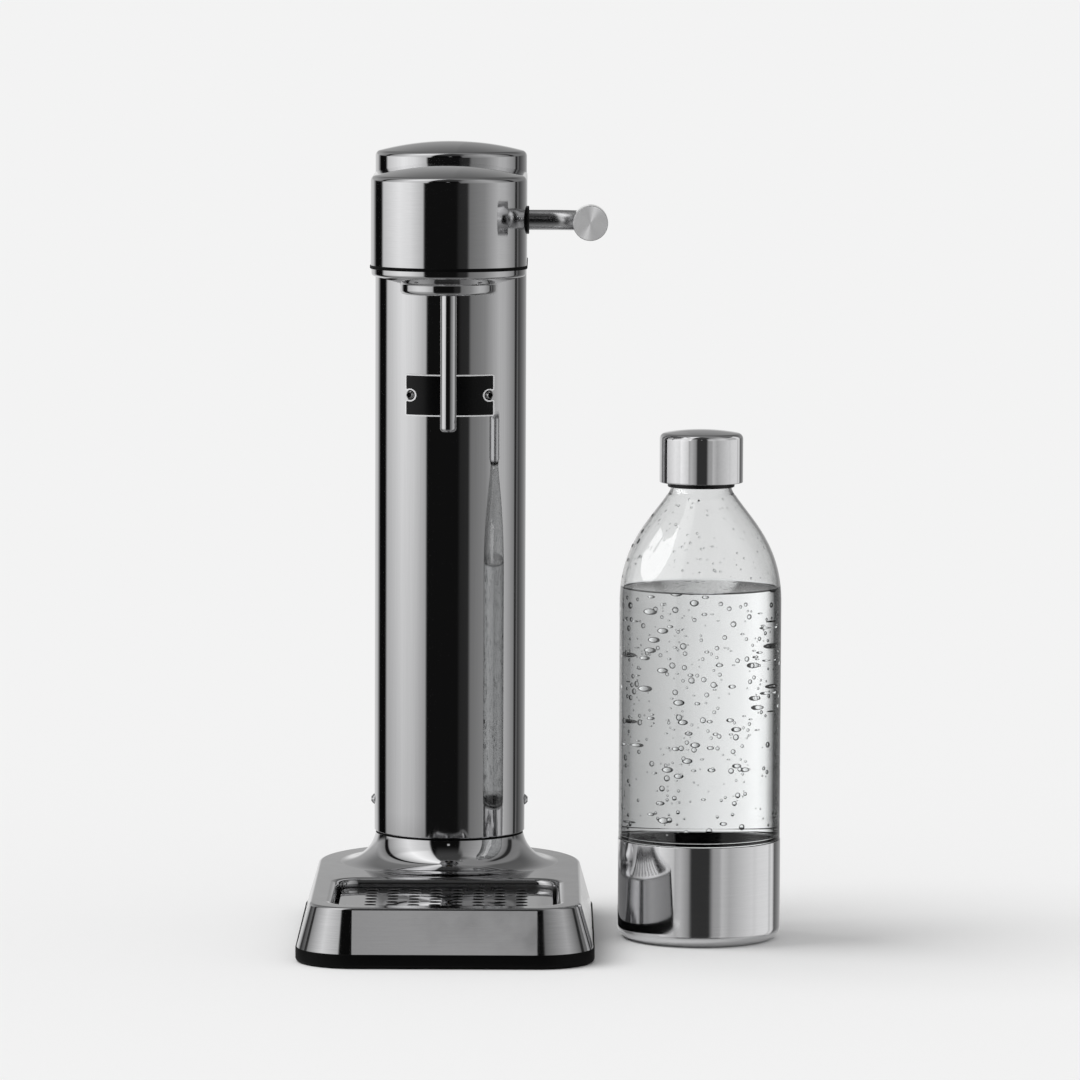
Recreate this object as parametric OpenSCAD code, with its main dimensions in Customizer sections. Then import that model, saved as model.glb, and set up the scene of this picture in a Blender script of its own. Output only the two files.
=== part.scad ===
// Sparkling water maker with its bottle, in millimetres.
// The origin is on the floor at the middle of the foot: +Z up, the lever on +X, the front at -Y.

/* [Overall] */
// Height from the floor to the crown of the column
total_h = 414; // [400:1:430]
// Width of the foot, which is also the diameter of its round back
base_w = 153; // [148:1:170]
// Depth of the foot, from its front to the end of its round back
base_d = 258; // [252:1:280]
// Distance from the column's axis to the nozzle's axis
nozzle_reach = 86; // [84:0.5:90]

/* [Base] */
// Height of the rubber foot
foot_h = 7.4; // [5:0.2:10]
// Radius of the rubber's lower edge
foot_edge_r = 2; // [0.5:0.5:3]
// Height of the base's steel top above the floor
base_h = 30.4; // [29:0.2:36]
// How far the steel walls lean in between the foot and the top
base_draft = 6.6; // [3:0.2:8]
// How far the steel stands back from the edge of the rubber
foot_step = 0.6; // [0.2:0.1:2]
// Radius of the front corners at the top
base_corner_r = 22.5; // [15:0.5:26]
// Radius of the edge round the top
base_edge_r = 1.8; // [1:0.2:3]
// Thickness of the base's steel sheet
base_wall = 1.5; // [1:0.1:2]
// Thickness of the steel plate that closes the base underneath
bottom_plate_t = 2; // [1.5:0.1:3]
// Radius of the hollow curve between the base and the column
flare_r = 19; // [16:0.5:21]
// How far the foot of that curve stands out from the column
flare_out = 18; // [16:0.5:19.4]

/* [Drip tray] */
// Width of the tray's opening
tray_w = 116; // [105:1:122]
// Distance from the opening's back to the foot of the hollow curve
tray_land = 9; // [7:0.5:16]
// Distance from the front of the base's top to the opening
tray_lip = 11.8; // [10:0.2:14]
// Corner radius of the opening
tray_corner_r = 13; // [10:0.5:16]
// Radius of the rolled rim
tray_roll_r = 3; // [2:0.2:4]
// Depth of the basin below the base's top
tray_depth = 18; // [14:0.5:19]
// Thickness of the basin
tray_wall = 1.2; // [0.8:0.1:1.5]
// How far the perforated plate lies below the base's top
grille_drop = 4.8; // [3.5:0.1:7]
// Thickness of the perforated plate
grille_t = 1.5; // [1:0.1:2]
// Gap between the perforated plate and the basin
grille_gap = 2.7; // [1:0.1:4]
// Diameter of the plate's holes
hole_d = 6; // [4:0.2:7]
// Spacing of the holes from side to side
hole_pitch_x = 11.1; // [9:0.1:11.8]
// Spacing of the holes from front to back
hole_pitch_y = 10.5; // [9:0.1:10.8]
// Holes in a row
hole_cols = 8; // [4:2:8]
// Least distance from the plate's front and back edges to the middle of a hole
hole_margin = 6.5; // [5:0.5:12]

/* [Column] */
// Diameter of the column
column_d = 80; // [79:0.5:84]
// Thickness of the column's steel tube
column_wall = 1.5; // [1:0.1:2]
// Radius of the crown's low dome
dome_r = 148; // [130:1:200]
// Radius of the edge below each dome
dome_edge_r = 3; // [1:0.2:4]
// Height of the black gasket under the column
gasket_h = 1; // [0.6:0.1:1.5]
// Height of the side screws above the floor
side_screw_z = 63.5; // [61:0.5:68]
// Diameter of the side screws' dome heads
side_screw_d = 5.7; // [4.5:0.1:7]

/* [Nameplate] */
// Width of the nameplate, measured straight across
plate_w = 47; // [40:0.5:52]
// Height of the nameplate
plate_h = 22; // [18:0.5:26]
// Distance of the nameplate's middle below the crown of the column
plate_drop = 132.3; // [115:0.5:150]
// Thickness of the nameplate
plate_t = 1; // [0.6:0.1:1.2]
// Radius of the notches round its two screws
notch_r = 2.7; // [2.7:0.1:4]
// Diameter of the nameplate screws' heads
plate_screw_d = 5.2; // [4:0.1:5.3]
// Distance of each nameplate screw from the end of the plate, seen from the front
plate_screw_inset = 2.6; // [1:0.1:4]
// Radius of the nameplate's corners
plate_corner_r = 1.2; // [0.4:0.1:2]

/* [Head] */
// Distance of the head's crown below the column's
head_drop = 10.2; // [8:0.1:16]
// How far the head's sides stand out from the column's
head_extra_r = 0.3; // [0.3:0.1:1]
// Thickness of the head's steel shell
head_wall = 1.2; // [0.8:0.1:1.6]
// Height of the head's shell
head_h = 51.3; // [48:0.1:53]
// Height of the black seal ring
seal_h = 1.8; // [1.2:0.1:2.5]
// How far the seal ring stands out from the head
seal_proud = 0.4; // [0.2:0.1:1]
// Depth of the head's underside, from the seal to its lowest flat
underside_h = 7.2; // [5:0.2:8]
// Diameter of the bottle collar
collar_d = 50; // [46:0.5:54]
// Height of the bottle collar
collar_h = 5.9; // [5:0.1:9]
// Diameter of the collar's bore, which takes the bottle's neck
collar_bore = 38; // [37:0.5:40]

/* [Nozzle] */
// Diameter of the nozzle tube
nozzle_d = 8.3; // [7:0.1:9]
// How far the nozzle reaches down below the collar
nozzle_l = 71.6; // [58:0.1:83]

/* [Lever] */
// Distance of the lever's axis below the head's crown
lever_drop = 27.8; // [26:0.1:30]
// Diameter of the lever's bent rod
rod_d = 10.4; // [9:0.2:10.4]
// Distance of the knob's axis from the machine's middle
knob_x = 72.8; // [70:0.1:85]
// Length of straight rod between the bend and the knob
knob_gap = 0.5; // [0.5:0.5:20]
// Radius of the rod's bend
bend_r = 20; // [12:0.5:22]
// Diameter of the knob
knob_d = 18; // [15:0.5:22]
// Length of the knob
knob_l = 20; // [15:0.5:25]
// Diameter of the black bushing's flange
bushing_d = 14.5; // [13:0.5:18]

/* [Gas cylinder] */
// Diameter of the gas cylinder
cylinder_d = 60; // [56:0.5:62]
// Height of the cylinder's bottom above the floor
cylinder_z = 10; // [8:0.5:14]
// Diameter of the thread on the cylinder's valve
thread_d = 21; // [20:0.5:22]

/* [Bottle] */
// Distance of the bottle's axis from the machine's middle
bottle_x = 131.5; // [125:0.5:160]
// Place of the bottle's axis from front to back, from the middle of the foot
bottle_y = -15; // [-60:1:40]
// Diameter of the steel cup at the bottle's foot
cup_d = 85; // [80:0.5:90]
// Height of the steel cup
cup_h = 52.5; // [40:0.5:70]
// Thickness of the steel cup
cup_wall = 0.8; // [0.6:0.1:1.2]
// Radius of the cup's lower edge
cup_edge_r = 7; // [4:0.5:10]
// Height of the bottle with its cap
bottle_h = 266.5; // [250:0.5:290]
// Thickness of the bottle's clear wall
bottle_wall = 1.6; // [1:0.1:2.4]
// Diameter of the steel cap
cap_d = 43.5; // [42:0.5:48]
// Height of the steel cap
cap_h = 27.5; // [22:0.5:29]
// Thickness of the steel cap
cap_wall = 0.8; // [0.6:0.1:1.2]
// Outer diameter of the bottle's mouth
mouth_d = 31.6; // [28:0.2:33]

/* [Hidden] */
$fn = 96;

// Colours
steel = "#c8cbce";
black = "#17181a";
rubber = "#101010";
brass = "#c2a25a";
grey_steel = "#8b8f93";
clear = [0.82, 0.88, 0.9, 0.45];

// Shared small sizes
over = 1;
slip = 0.3;
fit = 0.1;
right_angle = 90;
drill_l = 6;
arc_steps = 8;
dome_steps = 12;

// Base
back_r = base_w / 2 - foot_step - base_draft;
column_y = base_d / 2 - base_w / 2;
front_y = -base_d / 2 + foot_step + base_draft;
corner_x = back_r - base_corner_r;
corner_y = front_y + base_corner_r;
column_r = column_d / 2;
flare_foot_r = column_r + flare_out;
flare_z = base_h + flare_r;
neck_drop = 3.2;
neck_z = flare_z - neck_drop;
neck_angle = asin(neck_drop / flare_r);
gasket_top = neck_z + gasket_h;
sleeve_gap = 0.6;
sleeve_r = column_r - column_wall - sleeve_gap;
sleeve_wall = 1.7;
sleeve_rise = 14.5;
sleeve_top = side_screw_z + sleeve_rise;
sleeve_band_h = 13;
cylinder_gap = 3;
cylinder_hole_r = cylinder_d / 2 + cylinder_gap;

// Tray
tray_d = column_y - flare_foot_r - tray_land - front_y - tray_lip;
tray_y = front_y + tray_lip + tray_d / 2;
tray_floor = base_h - tray_depth;
grille_top = base_h - grille_drop;
grille_w = tray_w - 2 * grille_gap;
grille_d = tray_d - 2 * grille_gap;
grille_corner_r = tray_corner_r - grille_gap;
hole_rows = floor((grille_d - 2 * hole_margin) / hole_pitch_y) + 1;
leg_r = 3;
leg_inset = 6;

// Column
column_top_z = total_h;
column_bore_r = column_r - column_wall;
column_foot_r = 1;
side_screw_h = 1.8;
side_screw_shank_r = 1.9;
plate_z = total_h - plate_drop;
plate_screw_x = plate_w / 2 - plate_screw_inset;
plate_screw_angle = asin(plate_screw_x / (column_r + plate_t / 2));
notch_corner_x = plate_w / 2 - plate_corner_r;
notch_turn = acos((notch_corner_x - plate_screw_x) / (notch_r + plate_corner_r));
notch_corner_z = (notch_r + plate_corner_r) * sin(notch_turn);
plate_screw_h = 1.6;
plate_screw_shank_r = 1.7;
socket_d = 2.6;
socket_floor = 0.5;

// Head
nozzle_y = column_y - nozzle_reach;
head_top = total_h - head_drop;
head_bottom_z = head_top - head_h;
lever_z = head_top - lever_drop;
head_r = column_r + head_extra_r;
seal_z = head_bottom_z - seal_h;
underside_z = seal_z - underside_h;
underside_r = head_r - seal_proud;
underside_rim = 2.3;
underside_edge_r = 1.5;
underside_edge_angle = -73;
underside_land = 1.5;
underside_flat_r = collar_d / 2 + underside_land;
ledge_t = 2;
ledge_z = underside_z + ledge_t;
ledge_w = 3;
collar_z = underside_z - collar_h;
collar_edge_r = 2.2;
block_disc_r = collar_bore / 2 + ledge_w;
block_r = 14;
block_rise = 13.5;
block_top = head_bottom_z + block_rise;
pipe_rise = 7.5;
pipe_z = head_bottom_z + pipe_rise;
pipe_r = 3;
pipe_bore_r = 1.5;
window_w = 42;
window_rise = 18;
window_top = lever_z + window_rise;
screw_ring_r = 31;
screw_ring_angles = [-47, -32, 32, 47, 133, 148, 212, 227];
ring_screw_r = 1.5;
seal_w = 4;
safety_r = 3;
safety_cap_r = 4.8;
safety_l = 14;
safety_stem_l = 3.5;
nozzle_tip_r = 2;
nozzle_hole_r = 1.2;
nozzle_tip_z = collar_z - nozzle_l;
nozzle_step = 0.45;
nozzle_root_r = nozzle_d / 2 + nozzle_step;
nut_r = 7;
nut_h = 4;

// Lever and rocker
rod_r = rod_d / 2;
knob_reach = bend_r + knob_gap + knob_l;
cheek_x = 17;
cheek_t = 2.5;
cheek_rise = 15;
cheek_top = lever_z + cheek_rise;
frame_front = 25;
frame_back = 57.5;
cam_reach = 10;
cam_lobe_r = 4;
cam_hub_r = 7;
cam_w = 12;
cam_web = 7;
rocker_gap = 0.4;
rocker_pivot_back = 48.5;
rocker_pivot_y = nozzle_y + rocker_pivot_back;
rocker_pivot_rise = 7.5;
rocker_pivot_z = lever_z + rocker_pivot_rise;
rocker_w = 10;
rocker_h = 5.6;
rocker_hub_r = 6;
rocker_pin_r = 2.5;
rocker_nose = 6.5;
rocker_front_y = nozzle_y + rocker_nose;
rocker_tail = 3.5;
rocker_back_y = column_y + rocker_tail;
rocker_z = lever_z + cam_lobe_r + rocker_gap;
spring_r = 8;
spring_wall = 2.4;
spring_l = 7.5;
clip_r = 7.8;
clip_t = 1.1;
bushing_t = 1.2;
bushing_sleeve_r = 6.2;
bushing_l = 10;
knob_chamfer = 0.6;

// Valve
carrier_drop = 8.7;
carrier_z = seal_z - carrier_drop;
carrier_h = 4;
carrier_bore_r = 16;
valve_block_r = 24;
valve_block_z = carrier_z + carrier_h;
valve_block_h = 26;
valve_seat_h = 16;
valve_bore_r = thread_d / 2 + slip;
pin_r = 2.5;
pin_head_r = 4;
pin_head_h = 2;
pin_top = rocker_z - rocker_gap - fit;

// Gas cylinder
cylinder_r = cylinder_d / 2;
valve_gap = 0.5;
valve_top = valve_block_z + valve_seat_h - valve_gap;
valve_l = 20.5;
valve_collar_h = 7;
valve_collar_r = 12;
cylinder_neck_z = valve_top - valve_l - valve_collar_h;
cylinder_neck_r = 13;
shoulder_h = 34;
cylinder_edge_r = 8;
cylinder_dish = 4;
cylinder_wall = 4.2;
valve_hole_gap = 0.7;
valve_hole_r = pin_r + valve_hole_gap;
valve_hole_l = 6;
guide_h = 6;
guide_step = 9;
guide_drop = 10.2;
guide_zs = [sleeve_top + guide_step, cylinder_neck_z - shoulder_h - guide_drop];

// Bottle
bottle_r = cup_d / 2 - slip;
bottle_in_cup_r = cup_d / 2 - cup_wall - slip;
bottle_floor = cup_wall + slip;
mouth_r = mouth_d / 2;
cap_top_t = 1.6;
cap_seal_t = 1.2;
mouth_top = bottle_h - cap_wall - cap_top_t - cap_seal_t;
cap_z = bottle_h - cap_h;
cap_lip = 2.3;
cap_lip_r = 17.4;
cap_dome_r = 110;
cap_edge_r = 3;
mouth_gap = 0.4;
cap_insert_r = mouth_r + mouth_gap;
cap_seal_bore_r = 8;
// Radius of the bottle's shoulder as shares of the body's radius, from the shoulder's foot to the neck
shoulder_shares = [1, 0.996, 0.985, 0.970, 0.948, 0.919, 0.879, 0.835, 0.783, 0.720, 0.652, 0.576, 0.503, 0.430];
shoulder_drop = 88.5;
shoulder_foot = bottle_h - shoulder_drop;
shoulder_rise = 54;
neck_z0 = shoulder_foot + shoulder_rise;
neck_fillet_r = 8;
neck_flare_w = max(fit, shoulder_shares[len(shoulder_shares) - 1] * bottle_r - mouth_r);
neck_turn = acos(1 - neck_flare_w / neck_fillet_r);

// Points of an arc about (cx, cz) from angle a0 to a1
function arc(cx, cz, r, a0, a1, steps) =
    [for (i = [0 : steps]) let (a = a0 + (a1 - a0) * i / steps) [cx + r * cos(a), cz + r * sin(a)]];

// The section of a leaning wall with a rounded top edge, from the axis out to r
function wall_section(r, z0, z1, draft, edge) =
    let (lean = atan(draft / (z1 - z0)), cx = r - edge * (1 - sin(lean)) / cos(lean))
    concat([[0, z0], [r + draft, z0]], arc(cx, z1 - edge, edge, lean, 90, arc_steps), [[0, z1]]);

// The section of a straight wall under a low dome, from the axis out to r
function dome_section(r, z0, z1, dome, edge) =
    let (lean = asin((r - edge) / (dome - edge)), cz = z1 - dome * (1 - cos(lean)) - edge * cos(lean))
    concat([[0, z0], [r, z0]], arc(r - edge, cz, edge, 0, right_angle - lean, arc_steps),
        [for (i = [1 : dome_steps]) let (a = lean * (1 - i / dome_steps))
            [dome * sin(a), z1 - dome * (1 - cos(a))]]);

// The section of the rubber foot, with its rounded lower edge, from the axis out to r
function foot_section(r) =
    concat([[0, 0]], arc(r - foot_edge_r, foot_edge_r, foot_edge_r, 270, 360, arc_steps), [[r, foot_h], [0, foot_h]]);

// Both halves of a section, side by side about its axis
function both_sides(section) = concat([for (p = section) if (p[0] > 0) p],
    section[0][0] == 0 && section[len(section) - 1][0] == 0 ? [section[len(section) - 1]] : [],
    [for (i = [len(section) - 1 : -1 : 0]) if (section[i][0] > 0) [-section[i][0], section[i][1]]],
    [section[0]]);

// The base's plan, swept: a round back about the column, straight sides and two round front corners
module base_form(inset, z0, z1, edge) {
    back = wall_section(back_r - inset, z0, z1, base_draft * (z1 - z0) / (base_h - foot_h), edge);
    front = wall_section(base_corner_r - inset, z0, z1, base_draft * (z1 - z0) / (base_h - foot_h), edge);
    translate([0, column_y, 0]) {
        rotate_extrude(angle = 180) polygon(back);
        rotate([90, 0, 0]) linear_extrude(column_y - corner_y) polygon(both_sides(back));
    }
    translate([corner_x, corner_y, 0]) {
        rotate([0, 0, -90]) rotate_extrude(angle = 90) polygon(front);
        rotate([90, 0, -90]) linear_extrude(2 * corner_x) polygon(front);
    }
    translate([-corner_x, corner_y, 0]) rotate([0, 0, 180]) rotate_extrude(angle = 90) polygon(front);
}

// The head's plan, swept: a round front about the nozzle and straight sides back to the column
module head_form(section, back = nozzle_reach) {
    translate([0, nozzle_y, 0]) {
        rotate([0, 0, 180]) rotate_extrude(angle = 180) polygon(section);
        translate([0, back, 0]) rotate([90, 0, 0]) linear_extrude(back) polygon(both_sides(section));
    }
}

// A profile swept round a rectangle with round corners; its x starts at the corners' centres
module ring_sweep(w, d, r) {
    for (k = [0 : 3]) rotate([0, 0, 90 * k]) {
        across = k % 2 == 0 ? w : d;
        along = k % 2 == 0 ? d : w;
        translate([across / 2 - r, along / 2 - r, 0]) {
            rotate_extrude(angle = 90) children();
            rotate([90, 0, 0]) linear_extrude(along - 2 * r) children();
        }
    }
}

// A plate with round corners
module slab(w, d, r, h) {
    linear_extrude(h) {
        square([w - 2 * r, d], center = true);
        square([w, d - 2 * r], center = true);
        for (x = [-1, 1], y = [-1, 1]) translate([x * (w / 2 - r), y * (d / 2 - r)]) circle(r);
    }
}

// A tube with its foot at z0
module tube(outer, inner, z0, h) {
    translate([0, 0, z0]) difference() {
        cylinder(r = outer, h = h);
        translate([0, 0, -over]) cylinder(r = inner, h = h + 2 * over);
    }
}

// A screw with a low round head along +Z, its shank below
module round_screw(head_r, head_h, shank_r, shank_l) {
    ball = (head_r * head_r + head_h * head_h) / (2 * head_h);
    rotate_extrude() polygon(concat([[0, 0]], arc(0, head_h - ball, ball, asin((ball - head_h) / ball), 90,
        arc_steps)));
    translate([0, 0, -shank_l]) cylinder(r = shank_r, h = shank_l);
}

// Base
module base_foot() {
    color(rubber) difference() {
        union() {
            foot = base_w / 2;
            step = foot_step + base_draft;
            translate([0, column_y, 0]) rotate_extrude(angle = 180) polygon(foot_section(foot));
            translate([0, column_y, 0]) rotate([90, 0, 0]) linear_extrude(column_y - corner_y)
                polygon(both_sides(foot_section(foot)));
            corner = foot_section(base_corner_r + step);
            translate([corner_x, corner_y, 0]) {
                rotate([0, 0, -90]) rotate_extrude(angle = 90) polygon(corner);
                rotate([90, 0, -90]) linear_extrude(2 * corner_x) polygon(corner);
            }
            translate([-corner_x, corner_y, 0]) rotate([0, 0, 180]) rotate_extrude(angle = 90) polygon(corner);
        }
        translate([0, column_y, -over]) cylinder(r = cylinder_hole_r, h = foot_h + 2 * over);
    }
}

module base_plate() {
    color(grey_steel) difference() {
        base_form(base_wall + slip, foot_h, foot_h + bottom_plate_t, fit);
        translate([0, column_y, 0]) cylinder(r = cylinder_hole_r, h = base_h);
    }
}

module base_shell() {
    color(steel) {
        difference() {
            base_form(0, foot_h, base_h, base_edge_r);
            translate([0, 0, -over]) base_form(base_wall, foot_h, base_h - base_wall + over, base_edge_r / 2);
            translate([0, column_y, 0]) cylinder(r = flare_foot_r, h = base_h + over);
            translate([0, tray_y, foot_h]) slab(tray_w + 2 * tray_roll_r, tray_d + 2 * tray_roll_r,
                tray_corner_r + tray_roll_r, base_h);
        }
        translate([0, column_y, 0]) neck_flare();
        translate([0, tray_y, 0]) ring_sweep(tray_w, tray_d, tray_corner_r) rolled_rim();
    }
}

// The hollow curve from the base's top up to the column
module neck_flare() {
    difference() {
        rotate_extrude() polygon(concat(
            arc(flare_foot_r, flare_z, flare_r, 270, 180 + neck_angle, 2 * arc_steps),
            arc(flare_foot_r, flare_z, flare_r + base_wall, 180 + neck_angle, 270, 2 * arc_steps)));
        cylinder(r = sleeve_r + fit, h = total_h);
    }
}

// The quarter turn of the sheet into the tray
module rolled_rim() {
    polygon(concat(
        arc(tray_corner_r + tray_roll_r, base_h - tray_roll_r, tray_roll_r, 90, 180, arc_steps),
        arc(tray_corner_r + tray_roll_r, base_h - tray_roll_r, tray_roll_r - base_wall, 180, 90, arc_steps)));
}

module drip_basin() {
    color(steel) translate([0, tray_y, 0]) difference() {
        translate([0, 0, tray_floor - tray_wall]) slab(tray_w + 2 * tray_wall, tray_d + 2 * tray_wall,
            tray_corner_r + tray_wall, base_h - tray_roll_r - tray_floor + tray_wall);
        translate([0, 0, tray_floor]) slab(tray_w, tray_d, tray_corner_r, base_h);
    }
}

module drip_grille() {
    color(steel) translate([0, tray_y, 0]) difference() {
        translate([0, 0, grille_top - grille_t]) slab(grille_w, grille_d, grille_corner_r, grille_t);
        for (i = [0 : hole_cols - 1], j = [0 : hole_rows - 1])
            translate([(i - (hole_cols - 1) / 2) * hole_pitch_x, (j - (hole_rows - 1) / 2) * hole_pitch_y,
                grille_top - grille_t - over]) cylinder(d = hole_d, h = grille_t + 2 * over, $fn = 24);
    }
}

module grille_legs() {
    color(black) for (x = [-1, 1], y = [-1, 1])
        translate([x * (grille_w / 2 - leg_inset), tray_y + y * (grille_d / 2 - leg_inset), tray_floor])
            cylinder(r = leg_r, h = grille_top - grille_t - tray_floor, $fn = 48);
}

// Column
module column_sleeve() {
    color(grey_steel) translate([0, column_y, 0]) difference() {
        union() {
            tube(sleeve_r, sleeve_r - sleeve_wall, foot_h + bottom_plate_t,
                sleeve_top - foot_h - bottom_plate_t);
            tube(column_bore_r - fit, sleeve_r - sleeve_wall, side_screw_z - sleeve_band_h / 2, sleeve_band_h);
        }
        translate([0, 0, side_screw_z]) rotate([0, 90, 0])
            cylinder(r = side_screw_shank_r, h = column_d, center = true, $fn = 32);
    }
}

module column_gasket() {
    color(rubber) translate([0, column_y, 0]) tube(column_r - column_foot_r, sleeve_r, neck_z, gasket_h);
}

module column_shell() {
    color(steel) difference() {
        translate([0, column_y, 0]) rotate_extrude() difference() {
            polygon(concat(
                [[0, gasket_top]],
                arc(column_r - column_foot_r, gasket_top + column_foot_r, column_foot_r, 270, 360, arc_steps),
                [for (p = dome_section(column_r, gasket_top, column_top_z, dome_r, dome_edge_r))
                    if (p[1] > gasket_top) p]));
            polygon(dome_section(column_bore_r, gasket_top - over, column_top_z - column_wall,
                dome_r - column_wall, dome_edge_r / 2));
        }
        translate([-window_w / 2, column_y - column_d, seal_z])
            cube([window_w, column_d - column_r / 2, window_top - seal_z]);
        translate([0, column_y, side_screw_z]) rotate([0, 90, 0])
            cylinder(r = side_screw_shank_r + fit, h = 2 * column_d, center = true, $fn = 32);
        for (side = [-1, 1]) at_plate_screw(side)
            cylinder(r = plate_screw_shank_r + fit, h = drill_l, center = true, $fn = 32);
    }
}

module column_screws() {
    color(steel) for (side = [-1, 1]) translate([side * column_r, column_y, side_screw_z])
        rotate([0, 90 * side, 0])
            round_screw(side_screw_d / 2, side_screw_h, side_screw_shank_r, column_wall + sleeve_gap + fit);
}

// Turns +Z to point out of the column's front at a nameplate screw
module at_plate_screw(side) {
    translate([0, column_y, plate_z]) rotate([0, 0, side * plate_screw_angle]) translate([0, -column_r, 0])
        rotate([90, 0, 0]) children();
}

// The right half of the nameplate's outline, from the middle of its foot to the middle of its top
function plate_outline() = concat(
    [[0, -plate_h / 2]],
    arc(notch_corner_x, plate_corner_r - plate_h / 2, plate_corner_r, 270, 360, arc_steps),
    arc(notch_corner_x, -notch_corner_z, plate_corner_r, 0, 180 - notch_turn, arc_steps),
    arc(plate_screw_x, 0, notch_r, 360 - notch_turn, notch_turn, 3 * arc_steps),
    arc(notch_corner_x, notch_corner_z, plate_corner_r, 180 + notch_turn, 360, arc_steps),
    arc(notch_corner_x, plate_h / 2 - plate_corner_r, plate_corner_r, 0, 90, arc_steps),
    [[0, plate_h / 2]]);

module nameplate() {
    color(black) intersection() {
        translate([0, column_y, plate_z - plate_h / 2]) rotate([0, 0, 180]) rotate_extrude(angle = 180)
            translate([column_r + fit / 2, 0]) square([plate_t, plate_h]);
        translate([0, column_y, plate_z]) rotate([90, 0, 0]) linear_extrude(column_d)
            polygon(both_sides(plate_outline()));
    }
}

module nameplate_screws() {
    color(steel) for (side = [-1, 1]) at_plate_screw(side) difference() {
        round_screw(plate_screw_d / 2, plate_screw_h, plate_screw_shank_r, column_wall);
        translate([0, 0, socket_floor]) cylinder(d = socket_d, h = plate_screw_h, $fn = 6);
    }
}

module cylinder_guides() {
    color(black) translate([0, column_y, 0]) for (z = guide_zs)
        tube(column_bore_r - fit, cylinder_r + 2 * slip, z, guide_h);
}

// Gas valve in the top of the column
module valve_carrier() {
    color(grey_steel) translate([0, column_y, 0])
        tube(column_bore_r - fit, carrier_bore_r, carrier_z, carrier_h);
}

module valve_block() {
    color(black) difference() {
        translate([0, column_y, valve_block_z]) cylinder(r = valve_block_r, h = valve_block_h);
        translate([0, column_y, valve_block_z - over]) cylinder(r = valve_bore_r, h = valve_seat_h + over);
        translate([0, column_y, valve_block_z]) cylinder(r = pin_r + slip, h = valve_block_h + over, $fn = 48);
        translate([0, column_y, pipe_z]) rotate([90, 0, 0]) cylinder(r = pipe_r, h = column_d, $fn = 48);
    }
}

module valve_pin() {
    color(steel) translate([0, column_y, 0]) {
        translate([0, 0, valve_block_z + valve_seat_h])
            cylinder(r = pin_r, h = pin_top - valve_block_z - valve_seat_h, $fn = 48);
        translate([0, 0, pin_top - pin_head_h]) cylinder(r = pin_head_r, h = pin_head_h, $fn = 48);
    }
}

module gas_pipe() {
    color(brass) translate([0, column_y - valve_bore_r - over, pipe_z]) rotate([90, 0, 0]) difference() {
        cylinder(r = pipe_r, h = nozzle_reach - valve_bore_r - over - nozzle_root_r - fit, $fn = 48);
        translate([0, 0, -over]) cylinder(r = pipe_bore_r, h = nozzle_reach, $fn = 48);
    }
}

// Nozzle and the underside of the head
module nozzle_block() {
    color(black) difference() {
        translate([0, nozzle_y, 0]) {
            translate([0, 0, ledge_z]) cylinder(r = block_disc_r - fit, h = seal_z - ledge_z);
            translate([0, 0, seal_z]) cylinder(r = block_r, h = block_top - seal_z);
        }
        translate([0, nozzle_y, 0]) cylinder(r = nozzle_root_r + fit / 2, h = pipe_z, $fn = 48);
        translate([0, nozzle_y, pipe_z]) rotate([-90, 0, 0]) cylinder(r = pipe_r, h = column_d, $fn = 48);
        translate([0, nozzle_y, pipe_z - over]) rotate([90, 0, 0])
            cylinder(r = safety_r, h = column_d, $fn = 48);
    }
}

module safety_valve() {
    color(brass) translate([0, nozzle_y, pipe_z - over]) rotate([90, 0, 0]) {
        translate([0, 0, nozzle_d]) cylinder(r = safety_r, h = block_r - nozzle_d, $fn = 48);
        translate([0, 0, block_r]) cylinder(r = safety_cap_r, h = safety_l, $fn = 48);
        translate([0, 0, block_r + safety_l]) cylinder(r = safety_r, h = safety_stem_l, $fn = 48);
    }
}

module nozzle_tube() {
    color(steel) translate([0, nozzle_y, 0]) difference() {
        rotate_extrude($fn = 64) polygon(concat([[0, nozzle_tip_z]],
            arc(nozzle_d / 2 - nozzle_tip_r, nozzle_tip_z + nozzle_tip_r, nozzle_tip_r, 270, 360, arc_steps),
            [[nozzle_d / 2, collar_z], [nozzle_root_r, collar_z], [nozzle_root_r, pipe_z], [0, pipe_z]]));
        translate([0, 0, nozzle_tip_z - over]) cylinder(r = nozzle_hole_r, h = total_h, $fn = 32);
    }
}

module nozzle_nut() {
    color(brass) translate([0, nozzle_y, underside_z - nut_h]) difference() {
        cylinder(r = nut_r, h = nut_h, $fn = 6);
        translate([0, 0, -over]) cylinder(r = nozzle_root_r + fit / 2, h = nut_h + 2 * over, $fn = 48);
    }
}

module head_underside() {
    color(steel) difference() {
        head_form(concat([[0, underside_z], [underside_flat_r, underside_z]],
            arc(underside_r - underside_edge_r, seal_z - underside_rim, underside_edge_r,
                underside_edge_angle, 0, arc_steps),
            [[underside_r, seal_z], [0, seal_z]]));
        translate([0, column_y, 0]) cylinder(r = column_r, h = total_h);
        translate([0, nozzle_y, 0]) cylinder(d = collar_bore + 2 * fit, h = total_h);
        translate([0, nozzle_y, ledge_z]) cylinder(r = block_disc_r, h = total_h);
        for (a = screw_ring_angles) translate([0, nozzle_y, 0]) rotate([0, 0, a]) translate([0, -screw_ring_r, 0])
            cylinder(r = ring_screw_r, h = seal_z + over, $fn = 24);
    }
}

module collar_screws() {
    color(grey_steel) for (a = screw_ring_angles) translate([0, nozzle_y, underside_z + ring_screw_r])
        rotate([0, 0, a]) translate([0, -screw_ring_r, 0])
            cylinder(r = ring_screw_r - fit / 2, h = seal_z - underside_z - ring_screw_r, $fn = 24);
}

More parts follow.
